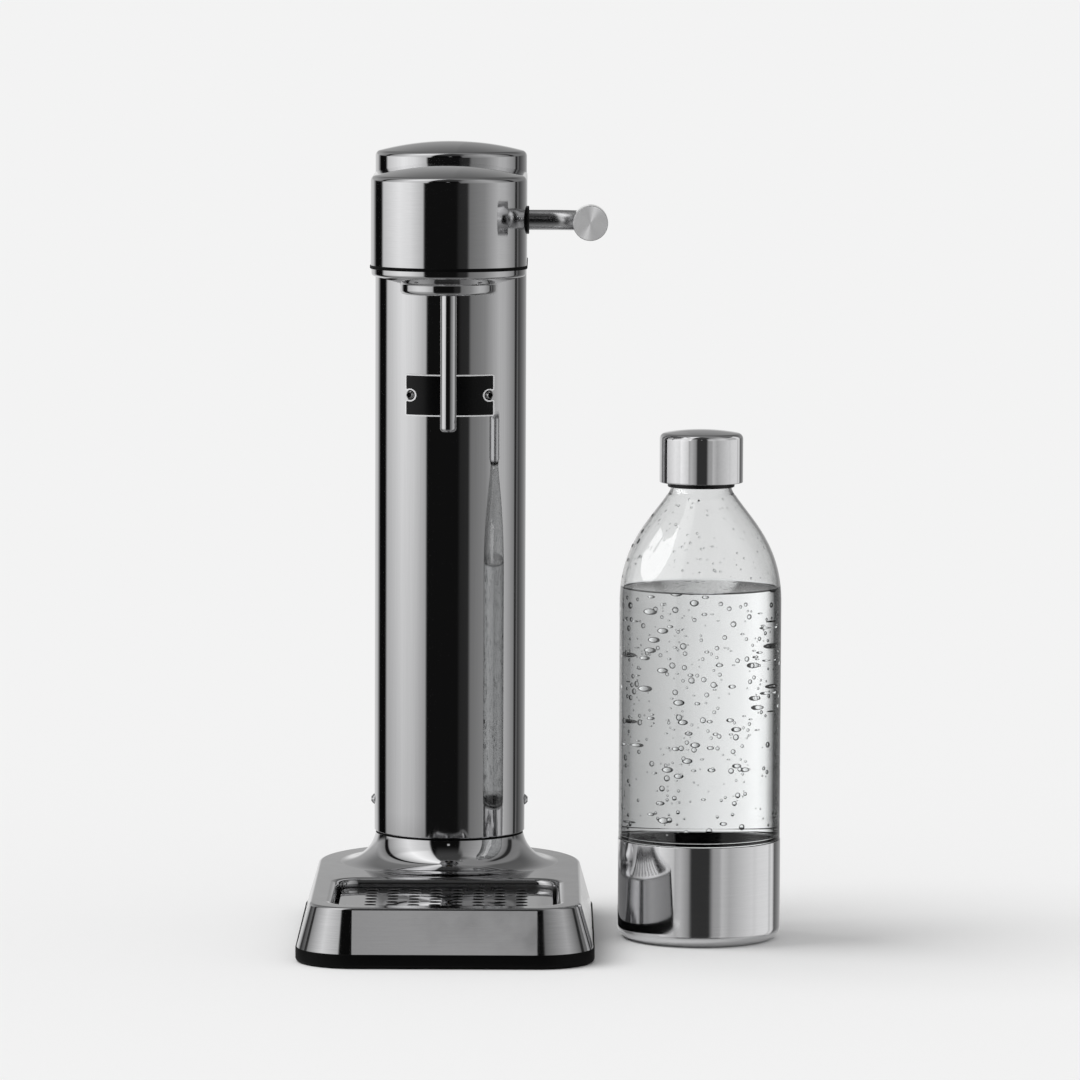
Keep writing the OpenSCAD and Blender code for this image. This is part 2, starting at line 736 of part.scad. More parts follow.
module head_seal() {
    color(rubber) difference() {
        head_form([[0, seal_z], [head_r + seal_proud, seal_z], [head_r + seal_proud, head_bottom_z],
            [0, head_bottom_z]]);
        translate([0, 0, -over]) head_form([[0, seal_z], [head_r - seal_w, seal_z],
            [head_r - seal_w, head_bottom_z + 2 * over], [0, head_bottom_z + 2 * over]]);
        translate([0, column_y, 0]) cylinder(r = column_r, h = total_h);
    }
}

module head_shell() {
    color(steel) difference() {
        head_form(dome_section(head_r, head_bottom_z, head_top, dome_r, dome_edge_r));
        head_form(dome_section(head_r - head_wall, head_bottom_z - over, head_top - head_wall,
            dome_r - head_wall, dome_edge_r / 2));
        translate([0, column_y, 0]) cylinder(r = column_r, h = total_h);
        translate([0, nozzle_y, lever_z]) rotate([0, 90, 0])
            cylinder(r = bushing_sleeve_r + fit, h = column_d, $fn = 48);
    }
}

module bottle_collar() {
    color(steel) translate([0, nozzle_y, 0]) rotate_extrude() polygon(concat(
        [[collar_bore / 2, collar_z + over]],
        arc(collar_bore / 2 + over, collar_z + over, over, 180, 270, arc_steps),
        arc(collar_d / 2 - collar_edge_r, collar_z + collar_edge_r, collar_edge_r, 270, 360, arc_steps),
        arc(collar_d / 2 + over, underside_z - over, over, 180, 90, arc_steps),
        [[collar_bore / 2, underside_z]]));
}

module collar_seal() {
    color(black) translate([0, nozzle_y, 0])
        tube(collar_bore / 2, nozzle_root_r + fit / 2, underside_z, ledge_z - underside_z);
}

// Frame, lever and rocker in the head
module head_frame() {
    color(grey_steel) difference() {
        union() {
            translate([-cheek_x - cheek_t, nozzle_y - frame_front, seal_z])
                cube([2 * (cheek_x + cheek_t), frame_front + frame_back, cheek_t]);
            for (side = [0, 1]) translate([side * (2 * cheek_x + cheek_t) - cheek_x - cheek_t,
                nozzle_y - frame_front / 2, seal_z])
                cube([cheek_t, frame_front / 2 + frame_back, cheek_top - seal_z]);
        }
        translate([0, nozzle_y, 0]) cylinder(r = block_r + fit, h = seal_z + 2 * cheek_t);
        translate([0, nozzle_y, lever_z]) rotate([0, 90, 0])
            cylinder(r = rod_r + fit, h = column_d, center = true, $fn = 48);
        translate([0, rocker_pivot_y, rocker_pivot_z]) rotate([0, 90, 0])
            cylinder(r = rocker_pin_r, h = column_d, center = true, $fn = 48);
    }
}

module lever_bushing() {
    color(black) translate([head_r, nozzle_y, lever_z]) rotate([0, 90, 0]) difference() {
        union() {
            cylinder(d = bushing_d, h = bushing_t);
            translate([0, 0, -bushing_l]) cylinder(r = bushing_sleeve_r, h = bushing_l + over);
        }
        translate([0, 0, -bushing_l - over]) cylinder(r = rod_r + fit, h = bushing_l + bushing_t + 2 * over);
    }
}

module lever_arm() {
    color(steel) translate([0, nozzle_y, lever_z]) {
        shaft_end = -cheek_x - cheek_t - 2 * clip_t;
        translate([shaft_end, 0, 0]) rotate([0, 90, 0]) cylinder(r = rod_r, h = knob_x - bend_r - shaft_end);
        translate([knob_x - bend_r, -bend_r, 0]) rotate_extrude(angle = 90)
            translate([bend_r, 0]) circle(rod_r);
        translate([knob_x, -bend_r, 0]) rotate([90, 0, 0])
            cylinder(r = rod_r, h = knob_reach - bend_r - knob_l / 2);
    }
}

module lever_knob() {
    color(steel) translate([knob_x, nozzle_y - knob_reach + knob_l, lever_z]) rotate([90, 0, 0]) difference() {
        rotate_extrude() polygon([[0, 0], [knob_d / 2 - knob_chamfer, 0], [knob_d / 2, knob_chamfer],
            [knob_d / 2, knob_l - knob_chamfer], [knob_d / 2 - knob_chamfer, knob_l], [0, knob_l]]);
        translate([0, 0, -over]) cylinder(r = rod_r, h = knob_l / 2 + over);
    }
}

module lever_cam() {
    color(brass) translate([0, nozzle_y, lever_z]) rotate([0, 90, 0]) translate([0, 0, -cam_w / 2])
        difference() {
            union() {
                cylinder(r = cam_hub_r, h = cam_w);
                translate([0, cam_reach, 0]) cylinder(r = cam_lobe_r, h = cam_w);
                translate([-cam_web / 2, 0, 0]) cube([cam_web, cam_reach, cam_w]);
            }
            translate([0, 0, -over]) cylinder(r = rod_r, h = cam_w + 2 * over);
        }
}

module lever_clip() {
    color(grey_steel) translate([-cheek_x - cheek_t - slip, nozzle_y, lever_z]) rotate([0, -90, 0])
        difference() {
            cylinder(r = clip_r, h = clip_t);
            translate([0, 0, -over]) cylinder(r = rod_r, h = clip_t + 2 * over);
            translate([0, -rod_r / 2, -over]) cube([clip_r + over, rod_r, clip_t + 2 * over]);
        }
}

module lever_spring() {
    color(grey_steel) translate([-cheek_x, nozzle_y, lever_z]) rotate([0, 90, 0])
        tube(spring_r, spring_r - spring_wall, 0, spring_l);
}

module rocker() {
    color(brass) difference() {
        union() {
            translate([-rocker_w / 2, rocker_front_y, rocker_z])
                cube([rocker_w, rocker_back_y - rocker_front_y, rocker_h]);
            translate([-rocker_w / 2, rocker_pivot_y, rocker_pivot_z]) rotate([0, 90, 0])
                cylinder(r = rocker_hub_r, h = rocker_w);
        }
        translate([-column_r, rocker_pivot_y, rocker_pivot_z]) rotate([0, 90, 0])
            cylinder(r = rocker_pin_r + fit, h = column_d, $fn = 48);
    }
}

module rocker_pin() {
    color(steel) translate([-cheek_x - cheek_t, rocker_pivot_y, rocker_pivot_z]) rotate([0, 90, 0])
        cylinder(r = rocker_pin_r, h = 2 * (cheek_x + cheek_t), $fn = 48);
}

// Gas cylinder
module gas_cylinder() {
    color(grey_steel) translate([0, column_y, 0]) rotate_extrude() difference() {
        cylinder_outline(0);
        cylinder_outline(cylinder_wall);
    }
}

// The cylinder's outline, drawn in by a wall's thickness, which leaves its neck open
module cylinder_outline(inset) {
    neck = cylinder_neck_r - inset;
    polygon(concat(
        [[0, cylinder_z + cylinder_dish + inset]],
        [[cylinder_r - 2 * cylinder_edge_r, cylinder_z + inset]],
        arc(cylinder_r - cylinder_edge_r, cylinder_z + cylinder_edge_r, cylinder_edge_r - inset, 270, 360,
            arc_steps),
        [for (i = [0 : arc_steps]) let (a = 90 * i / arc_steps)
            [neck + (cylinder_r - cylinder_neck_r) * cos(a),
                cylinder_neck_z - shoulder_h + (shoulder_h - inset) * sin(a)]],
        [[neck, cylinder_neck_z + (inset > 0 ? over : 0)], [0, cylinder_neck_z + (inset > 0 ? over : 0)]]));
}

module cylinder_valve() {
    color(brass) translate([0, column_y, 0]) difference() {
        union() {
            translate([0, 0, cylinder_neck_z]) cylinder(r = valve_collar_r, h = valve_collar_h);
            translate([0, 0, valve_top - valve_l]) cylinder(d = thread_d, h = valve_l);
        }
        translate([0, 0, valve_top - valve_hole_l]) cylinder(r = valve_hole_r, h = valve_hole_l + over, $fn = 48);
    }
}

// Bottle
module bottle_cup() {
    color(steel) translate([bottle_x, bottle_y, 0]) rotate_extrude() difference() {
        polygon(concat([[0, 0]],
            arc(cup_d / 2 - cup_edge_r, cup_edge_r, cup_edge_r, 270, 360, arc_steps),
            [[cup_d / 2, cup_h], [0, cup_h]]));
        polygon(concat([[0, cup_wall]],
            arc(cup_d / 2 - cup_edge_r, cup_edge_r, cup_edge_r - cup_wall, 270, 360, arc_steps),
            [[cup_d / 2 - cup_wall, cup_h + over], [0, cup_h + over]]));
    }
}

// The bottle's outline from its foot to its mouth, drawn in by a wall's thickness
function bottle_outline(inset) = concat(
    [[0, bottle_floor + inset]],
    arc(cup_d / 2 - cup_edge_r, cup_edge_r, cup_edge_r - cup_wall - slip - inset, 270, 360, arc_steps),
    [[bottle_in_cup_r - inset, cup_h + fit + inset], [bottle_r - inset, cup_h + fit + inset]],
    [for (i = [0 : len(shoulder_shares) - 1])
        [shoulder_shares[i] * bottle_r - inset, shoulder_foot + shoulder_rise * i / (len(shoulder_shares) - 1)]],
    [for (p = arc(mouth_r + neck_fillet_r, neck_z0 + neck_fillet_r * sin(neck_turn), neck_fillet_r, 180 + neck_turn,
        180, arc_steps)) [p[0] - inset, p[1]]]);

module bottle_body() {
    color(clear) translate([bottle_x, bottle_y, 0]) rotate_extrude() difference() {
        polygon(concat(bottle_outline(0), [[mouth_r, mouth_top], [0, mouth_top]]));
        polygon(concat(bottle_outline(bottle_wall),
            [[mouth_r - bottle_wall, mouth_top + over], [0, mouth_top + over]]));
    }
}

module bottle_cap() {
    color(steel) translate([bottle_x, bottle_y, 0]) rotate_extrude() difference() {
        polygon(dome_section(cap_d / 2, cap_z, bottle_h, cap_dome_r, cap_edge_r));
        polygon(dome_section(cap_d / 2 - cap_wall, cap_z - over, bottle_h - cap_wall, cap_dome_r - cap_wall,
            cap_edge_r - cap_wall));
    }
}

module cap_insert() {
    color(black) translate([bottle_x, bottle_y, 0]) rotate_extrude() difference() {
        union() {
            polygon(concat([[0, cap_z]], [for (p = dome_section(cap_d / 2 - cap_wall, cap_z,
                bottle_h - cap_wall, cap_dome_r - cap_wall, cap_edge_r - cap_wall)) if (p[1] > cap_z - fit) p]));
            translate([0, cap_z - cap_lip]) square([cap_lip_r, cap_lip + over]);
        }
        translate([0, cap_z - cap_lip - over]) square([cap_insert_r, mouth_top + cap_seal_t - cap_z + cap_lip + over]);
    }
}

module cap_seal() {
    color("#d8d8d4") translate([bottle_x, bottle_y, 0])
        tube(cap_insert_r - fit, cap_seal_bore_r, mouth_top + fit, cap_seal_t - fit);
}

base_foot();
base_plate();
base_shell();
drip_basin();
drip_grille();
grille_legs();
column_sleeve();
column_gasket();
column_shell();
column_screws();
cylinder_guides();
valve_carrier();
valve_block();
valve_pin();
gas_pipe();
nozzle_block();
nozzle_tube();
nozzle_nut();
safety_valve();
head_frame();
head_underside();
head_seal();
head_shell();
bottle_collar();
collar_seal();
collar_screws();
lever_bushing();
lever_arm();
lever_knob();
lever_cam();
lever_clip();
lever_spring();
rocker();
rocker_pin();
nameplate();
nameplate_screws();
gas_cylinder();
cylinder_valve();
bottle_cup();
bottle_body();
bottle_cap();
cap_insert();
cap_seal();
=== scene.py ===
"""Looks of a polished steel sparkling water maker and its bottle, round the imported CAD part.

Shapes are worked out in millimetres in the CAD part's own frame, as profiles (out, up) that turn
round an axis or follow a plan, and turn into metres where a mesh is made.
"""
import math

import bmesh
import bpy
import numpy as np
from mathutils import Matrix, Vector
from mathutils.geometry import delaunay_2d_cdt


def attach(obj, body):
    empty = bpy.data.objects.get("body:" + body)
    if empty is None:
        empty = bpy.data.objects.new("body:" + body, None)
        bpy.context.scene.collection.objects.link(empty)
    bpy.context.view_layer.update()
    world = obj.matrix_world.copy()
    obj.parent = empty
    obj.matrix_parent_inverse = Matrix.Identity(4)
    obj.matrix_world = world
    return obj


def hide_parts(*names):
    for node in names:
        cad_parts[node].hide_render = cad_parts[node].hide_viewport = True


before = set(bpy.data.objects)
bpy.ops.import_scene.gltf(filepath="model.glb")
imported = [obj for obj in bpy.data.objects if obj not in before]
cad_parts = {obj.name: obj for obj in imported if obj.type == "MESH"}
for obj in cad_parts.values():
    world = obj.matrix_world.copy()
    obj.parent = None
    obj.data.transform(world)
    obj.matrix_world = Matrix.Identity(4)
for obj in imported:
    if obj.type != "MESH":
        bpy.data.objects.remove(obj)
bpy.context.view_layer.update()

MM = 0.001
TURN = 2 * math.pi
WELD = 0.002

# Places and sizes that pieces share, as in the CAD part
COLUMN_Y, COLUMN_R, COLUMN_TOP = 52.5, 40.0, 414.0
NOZZLE_Y, HEAD_R, HEAD_TOP = -33.5, 40.3, 403.8
HEAD_FOOT, SEAL_FOOT, DISH_FOOT, COLLAR_FOOT = 352.5, 350.7, 343.5, 337.6
DOME_R, DOME_EDGE = 148.0, 3.0
BASE_TOP, FOOT_TOP, BASE_DRAFT, BASE_EDGE = 30.4, 7.4, 6.6, 1.8
COLUMN_FOOT, WINDOW_TOP, BASIN_FLOOR = 47.2, 394.0, 12.4
FLARE_R, FLARE_FOOT, RING_FOOT = 19.0, 58.0, 46.2
BASE_HALF_W, BASE_HALF_D, FOOT_OUT = 76.5, 129.0, 7.2
TRAY_Y, TRAY_W, TRAY_D, TRAY_CORNER, TRAY_ROLL, TRAY_LIP = -62.25, 116.0, 95.5, 13.0, 3.0, 4.04
PLATE_TOP, PLATE_T, PLATE_GAP = 25.6, 1.5, 2.7
LEVER_Z, ROD_R, BEND_R = 376.0, 5.2, 20.0
KNOB_X, KNOB_END, KNOB_L, KNOB_R = 72.8, -74.0, 20.0, 9.0
PANEL_Z, PANEL_W, PANEL_H, PANEL_R = 281.7, 47.0, 22.0, 41.05
PANEL_CORNER, NOTCH_X, NOTCH_R = 1.2, 20.9, 2.7
PANEL_SCREW_ANGLE = 31.07
BOTTLE_X, BOTTLE_Y, BOTTLE_TOP = 131.5, -15.0, 266.5
CUP_R, CUP_H, CUP_EDGE, CUP_WALL = 42.5, 52.5, 7.0, 0.8
BODY_R, BODY_WALL, SHOULDER_FOOT, SHOULDER_H = 42.2, 1.6, 178.0, 54.0
NECK_R, NECK_FOOT, NECK_ARC, MOUTH_TOP = 15.8, 237.66, 8.0, 262.9
CAP_R, CAP_FOOT, CAP_WALL, CAP_DOME_R, CAP_EDGE = 21.75, 239.0, 0.8, 110.0, 3.0
WATER_TOP = 184.0

# Turns that take +Z to +X, to -X and to -Y
TO_RIGHT = np.array([[0, 0, 1], [0, 1, 0], [-1, 0, 0]], float)
TO_LEFT = np.array([[0, 0, -1], [0, 1, 0], [1, 0, 0]], float)
TO_FRONT = np.array([[1, 0, 0], [0, 0, -1], [0, 1, 0]], float)


# ---------------------------------------------------------------- outlines and surfaces
def arc(x, y, r, start, end, steps=8):
    """Points (x + r cos a, y + r sin a) for a from start to end degrees."""
    a = np.radians(np.linspace(start, end, steps + 1))
    return np.stack([x + r * np.cos(a), y + r * np.sin(a)], 1)


def rounded(*corners, closed=False, steps=6):
    """A line through corners (x, y, r), each cut by an arc of radius r that touches both its sides."""
    points = np.array([corner[:2] for corner in corners], float)
    line = []
    for i, corner in enumerate(corners):
        p, r = points[i], corner[2] if len(corner) > 2 else 0
        if r == 0 or (not closed and i in (0, len(corners) - 1)):
            line.append(p[None])
            continue
        a, b = points[i - 1] - p, points[(i + 1) % len(corners)] - p
        a, b = a / np.hypot(*a), b / np.hypot(*b)
        half = math.acos(np.clip(a @ b, -1, 1)) / 2
        middle = p + (a + b) / np.hypot(*(a + b)) * r / math.sin(half)
        first, last = p + a * r / math.tan(half) - middle, p + b * r / math.tan(half) - middle
        t, span = np.linspace(0, 1, steps + 1)[:, None], math.pi - 2 * half
        line.append(middle + (np.sin((1 - t) * span) * first + np.sin(t * span) * last) / math.sin(span))
    return np.concatenate(line)


def dome(r, foot, top, crown, edge, steps=24):
    """A wall up from (r, foot), an edge of radius edge, and a cap of radius crown to (0, top)."""
    lean = math.asin((r - edge) / (crown - edge))
    a = lean * (1 - np.arange(1, steps + 1) / steps)
    cap = np.stack([crown * np.sin(a), top - crown * (1 - np.cos(a))], 1)
    edge_y = top - crown * (1 - math.cos(lean)) - edge * math.cos(lean)
    return np.concatenate([[[r, foot]], arc(r - edge, edge_y, edge, 0, 90 - math.degrees(lean)), cap])


def quads(rows, cols, wrap_rows, wrap_cols):
    """Corners (i, j), (i, j + 1), (i + 1, j + 1), (i + 1, j) of each cell of a grid of points."""
    i, j = np.meshgrid(np.arange(rows - 1 + wrap_rows), np.arange(cols - 1 + wrap_cols), indexing="ij")
    i, j = i.ravel(), j.ravel()
    k, m = (i + 1) % rows, (j + 1) % cols
    return np.stack([i * cols + j, i * cols + m, k * cols + m, k * cols + j], 1)


def patch(grid, wrap_rows=False, wrap_cols=False):
    """The points and faces of a grid of shape (rows, cols, 3)."""
    return grid.reshape(-1, 3), quads(grid.shape[0], grid.shape[1], wrap_rows, wrap_cols)


def revolve(profile, at=(0, 0, 0), turn=None, steps=160, wrap=False):
    """Each profile point (r, z) goes round the axis to (r cos a, r sin a, z)."""
    profile = np.asarray(profile, float)
    a = np.arange(steps) * TURN / steps
    grid = np.stack([np.outer(profile[:, 0], np.cos(a)), np.outer(profile[:, 0], np.sin(a)),
                     np.repeat(profile[:, 1:], steps, 1)], 2)
    if turn is not None:
        grid = grid @ turn.T
    return patch(grid + np.array(at, float), wrap, True)


def plan(*corners, step=3):
    """Points and outward normals along arcs (x, y, r, start, end), joined by straight lines."""
    points, normals = [], []
    for x, y, r, start, end in corners:
        a = np.radians(np.linspace(start, end, int(abs(end - start) / step) + 1))
        normal = np.stack([np.cos(a), np.sin(a)], 1)
        points.append([x, y] + r * normal)
        normals.append(normal)
    return np.concatenate(points), np.concatenate(normals)


def box_plan(width, depth, r, y=0.0):
    """The plan of a rectangle with round corners, about (0, y)."""
    x, d = width / 2 - r, depth / 2 - r
    return plan((x, y + d, r, 0, 90), (-x, y + d, r, 90, 180), (-x, y - d, r, 180, 270),
                (x, y - d, r, 270, 360))


def sweep_grid(outline, profile):
    """Each profile point (out, z) follows the outline, moved out along the outline's normals."""
    (points, normals), profile = outline, np.asarray(profile, float)
    flat = points[None] + profile[:, :1, None] * normals[None]
    return np.concatenate([flat, np.repeat(profile[:, 1:], len(points), 1)[:, :, None]], 2)


def to_column(grid):
    """Points that lie inside the column's wall move forward onto it, so a sweep ends on the column."""
    grid = grid.copy()
    reach = np.sqrt(np.maximum((COLUMN_R - 0.5) ** 2 - grid[..., 0] ** 2, 0))
    inside = (reach > 0) & (grid[..., 1] > COLUMN_Y - reach)
    grid[..., 1] = np.where(inside, COLUMN_Y - reach, grid[..., 1])
    return grid


BASE_PLAN = plan((0, COLUMN_Y, 69.3, 0, 180), (-46.8, -99.3, 22.5, 180, 270), (46.8, -99.3, 22.5, 270, 360),
                 step=2)
HEAD_PLAN = plan((0, COLUMN_Y, HEAD_R, 180, 180), (0, NOZZLE_Y, HEAD_R, 180, 360), (0, COLUMN_Y, HEAD_R, 0, 0),
                 step=1.5)
TRAY_PLAN = box_plan(TRAY_W, TRAY_D, TRAY_CORNER, TRAY_Y)


# ---------------------------------------------------------------- meshes
def fill_level(bm, z, up):
    """Fills the flat area between all open edges at height z, facing up or down."""
    rim = [e for e in bm.edges if e.is_boundary and all(abs(v.co.z - z * MM) < WELD * MM for v in e.verts)]
    made = bmesh.ops.triangle_fill(bm, use_beauty=True, use_dissolve=False, edges=rim)["geom"]
    for face in made:
        if isinstance(face, bmesh.types.BMFace):
            face.normal_update()
            if (face.normal.z > 0) != up:
                face.normal_flip()


def in_order(bm):
    """Sorts edges and faces by their corners, because a new wall's come in another order at each run."""
    bm.verts.index_update()
    for parts in (bm.edges, bm.faces):
        for i, part in enumerate(sorted(parts, key=lambda part: sorted(v.index for v in part.verts))):
            part.index = i
        parts.sort()


def piece(name, patches, body, material, stands_for=(), levels=(), wall=0.0, crease=32, closed=True,
          even=True):
    """A mesh from patches: welded, filled at levels (z, up), given a wall on its inner side, and shaded.
    A patch may end with the number of its material."""
    mesh = bpy.data.meshes.new(name)
    points, faces, kinds, start = [], [], [], 0
    for spots, cells, *kind in patches:
        points.append(spots)
        faces += [(np.asarray(cell) + start).tolist() for cell in cells]
        kinds += (kind or [0]) * len(cells)
        start += len(spots)
    mesh.from_pydata((np.concatenate(points) * MM).tolist(), [], faces)
    mesh.polygons.foreach_set("material_index", kinds)
    bm = bmesh.new()
    bm.from_mesh(mesh)
    bmesh.ops.remove_doubles(bm, verts=bm.verts, dist=WELD * MM)
    for z, up in levels:
        fill_level(bm, z, up)
    if wall:
        bmesh.ops.solidify(bm, geom=bm.faces[:], thickness=wall * MM)
        in_order(bm)
    if closed:
        bmesh.ops.recalc_face_normals(bm, faces=bm.faces)
    bm.to_mesh(mesh)
    bm.free()
    mesh.shade_smooth()
    mesh.set_sharp_from_angle(angle=math.radians(crease))
    for finish in material if isinstance(material, tuple) else (material,):
        mesh.materials.append(finish)
    obj = bpy.data.objects.new(name, mesh)
    bpy.context.scene.collection.objects.link(obj)
    if even:
        flats = obj.modifiers.new("flats", "WEIGHTED_NORMAL")
        flats.keep_sharp = True
        flats.weight = 60
    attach(obj, body)
    if stands_for:
        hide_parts(*stands_for)
    return obj


# ---------------------------------------------------------------- materials
def node(tree, kind, **settings):
    """A new node of a kind, with its settings."""
    made = tree.nodes.new(kind)
    for key, value in settings.items():
        setattr(made, key, value)
    return made


def feed(tree, socket, value):
    """Links an output to a socket, or sets the socket to a number or colour."""
    if isinstance(value, bpy.types.NodeSocket):
        tree.links.new(value, socket)
    else:
        socket.default_value = value


def calc(tree, operation, *values, clamp=False):
    """One step of arithmetic on numbers."""
    made = node(tree, "ShaderNodeMath", operation=operation, use_clamp=clamp)
    for socket, value in zip(made.inputs, values):
        feed(tree, socket, value)
    return made.outputs[0]


def fade(tree, value, start, end, low=0.0, high=1.0, smooth=True):
    """Goes from low to high as value goes from start to end."""
    made = node(tree, "ShaderNodeMapRange", interpolation_type="SMOOTHSTEP" if smooth else "LINEAR")
    for key, item in (("Value", value), ("From Min", start), ("From Max", end), ("To Min", low), ("To Max", high)):
        feed(tree, made.inputs[key], item)
    return made.outputs["Result"]


def vector(tree, operation, a, b=(0.0, 0.0, 0.0)):
    """One step of arithmetic on points."""
    made = node(tree, "ShaderNodeVectorMath", operation=operation)
    feed(tree, made.inputs[0], a)
    feed(tree, made.inputs[1], b)
    return made.outputs


def axes(tree, point):
    """A point's x, y and z."""
    made = node(tree, "ShaderNodeSeparateXYZ")
    feed(tree, made.inputs[0], point)
    return made.outputs


def own_place(tree):
    """Where a point lies in its object's own coordinates."""
    return node(tree, "ShaderNodeTexCoord").outputs["Object"]


def mix(tree, factor, a, b, kind="FLOAT"):
    """Goes from a to b as factor goes from 0 to 1."""
    made = node(tree, "ShaderNodeMix", data_type=kind)
    spots = {"FLOAT": (2, 3, 0), "RGBA": (6, 7, 2)}[kind]
    feed(tree, made.inputs[0], factor)
    feed(tree, made.inputs[spots[0]], a)
    feed(tree, made.inputs[spots[1]], b)
    return made.outputs[spots[2]]


def group(name, inputs, outputs, build):
    """A shader node group: inputs are (name, value), outputs are names, and build fills it in."""
    tree = bpy.data.node_groups.new(name, "ShaderNodeTree")
    for label, value in inputs:
        kind = "NodeSocketVector" if isinstance(value, tuple) else "NodeSocketFloat"
        tree.interface.new_socket(label, in_out="INPUT", socket_type=kind).default_value = value
    for label in outputs:
        tree.interface.new_socket(label, in_out="OUTPUT", socket_type="NodeSocketFloat")
    start, end = node(tree, "NodeGroupInput"), node(tree, "NodeGroupOutput")
    build(tree, start.outputs, end.inputs)
    return tree


def noise(tree, place, scale, detail=3.0, rough=0.5):
    """Noise of 0 to 1 with its middle at 0.5."""
    made = node(tree, "ShaderNodeTexNoise")
    feed(tree, made.inputs["Vector"], place)
    feed(tree, made.inputs["Scale"], scale)
    made.inputs["Detail"].default_value = detail
    made.inputs["Roughness"].default_value = rough
    return made.outputs[0]


def build_polish(tree, given, out):
    """Hairlines from noise drawn out along one way, and wiped smears from broad noise."""
    spot = own_place(tree)
    stretched = vector(tree, "MULTIPLY", spot, given["Stretch"])[0]
    feed(tree, out["Hairlines"], noise(tree, stretched, 1.0, 4.0, 0.7))
    broad = noise(tree, spot, given["Smear scale"], 4.0, 0.6)
    feed(tree, out["Smears"], fade(tree, broad, 0.45, 0.75))


def build_grain(tree, given, out):
    """Fine moulded grain, soft blotches, and dust that lies on faces that look up."""
    spot = own_place(tree)
    feed(tree, out["Grain"], noise(tree, spot, given["Grain scale"], 3.0, 0.6))
    blotch = noise(tree, spot, given["Blotch scale"], 3.0, 0.5)
    feed(tree, out["Blotches"], blotch)
    up = axes(tree, node(tree, "ShaderNodeNewGeometry").outputs["Normal"])[2]
    feed(tree, out["Dust"], calc(tree, "MULTIPLY", fade(tree, up, 0.3, 1.0), blotch))


polish = group("polish", [("Stretch", (1500.0, 1500.0, 20.0)), ("Smear scale", 24.0)],
               ["Hairlines", "Smears"], build_polish)
grain = group("grain", [("Grain scale", 1800.0), ("Blotch scale", 30.0)],
              ["Grain", "Blotches", "Dust"], build_grain)


def surface_material(name, effect, settings, **constants):
    """A material with a Principled shader set to constants, and one effect group beside it."""
    made = bpy.data.materials.new(name)
    made.use_nodes = True
    tree = made.node_tree
    shader = tree.nodes["Principled BSDF"]
    for key, value in constants.items():
        shader.inputs[key.replace("_", " ").title().replace("Ior", "IOR")].default_value = value
    worked = node(tree, "ShaderNodeGroup", node_tree=effect)
    for key, value in settings.items():
        worked.inputs[key].default_value = value
    return made, tree, shader, worked.outputs


def bump(tree, shader, height, distance):
    """Heights of 0 to 1 over a distance in metres tilt the shader's normal."""
    made = node(tree, "ShaderNodeBump")
    made.inputs["Strength"].default_value = 1.0
    made.inputs["Distance"].default_value = distance
    feed(tree, made.inputs["Height"], height)
    feed(tree, shader.inputs["Normal"], made.outputs[0])


def steel(name, stretch, grey=0.62, sheen=(0.07, 0.12), lines=0.03, depth=2e-7, smear=20.0, metal=1.0):
    """Polished steel: hairlines shift its gloss and tone a little, and smears dull it in places."""
    made, tree, shader, out = surface_material(
        name, polish, {"Stretch": stretch, "Smear scale": smear}, metallic=metal)
    tone = fade(tree, out["Hairlines"], 0.3, 0.7, grey * (1 - lines), grey * (1 + lines), smooth=False)
    mixed = node(tree, "ShaderNodeCombineColor")
    for socket, tint in zip(mixed.inputs, (1.0, 1.0, 1.012)):
        feed(tree, socket, calc(tree, "MULTIPLY", tone, tint))
    feed(tree, shader.inputs["Base Color"], mixed.outputs[0])
    gloss = fade(tree, out["Smears"], 0.0, 1.0, sheen[0], sheen[1], smooth=False)
    shift = calc(tree, "MULTIPLY", calc(tree, "SUBTRACT", out["Hairlines"], 0.5), 0.05)
    feed(tree, shader.inputs["Roughness"], calc(tree, "ADD", gloss, shift))
    bump(tree, shader, out["Hairlines"], depth)
    return made


def matt(name, colour, rough, spread=0.08, dust=0.15, depth=1.5e-5, grain_scale=1800.0, **constants):
    """A moulded or painted surface: grain in its normal, blotches in its gloss, dust on top."""
    made, tree, shader, out = surface_material(
        name, grain, {"Grain scale": grain_scale, "Blotch scale": 35.0}, **constants)
    pale = tuple(min(1.0, c * 1.5 + 0.06) for c in colour)
    toned = mix(tree, calc(tree, "MULTIPLY", out["Dust"], dust), (*colour, 1), (*pale, 1), "RGBA")
    feed(tree, shader.inputs["Base Color"], toned)
    feed(tree, shader.inputs["Roughness"], fade(tree, out["Blotches"], 0.3, 0.7, rough - spread, rough + spread))
    bump(tree, shader, out["Grain"], depth)
    return made


def clear(name, colour, index, rough=0.0, depth=0.0):
    """Clear plastic or water: colour barely shows, and faint waves bend what lies behind."""
    made, tree, shader, out = surface_material(
        name, polish, {"Stretch": (25.0, 25.0, 8.0), "Smear scale": 30.0}, ior=index, transmission_weight=1.0,
        metallic=0.0)
    feed(tree, shader.inputs["Base Color"],
         mix(tree, out["Smears"], (*colour, 1), tuple(c * 0.99 for c in colour) + (1,), "RGBA"))
    feed(tree, shader.inputs["Roughness"], fade(tree, out["Smears"], 0.0, 1.0, rough, rough + 0.01))
    if depth:
        bump(tree, shader, out["Hairlines"], depth)
    return made


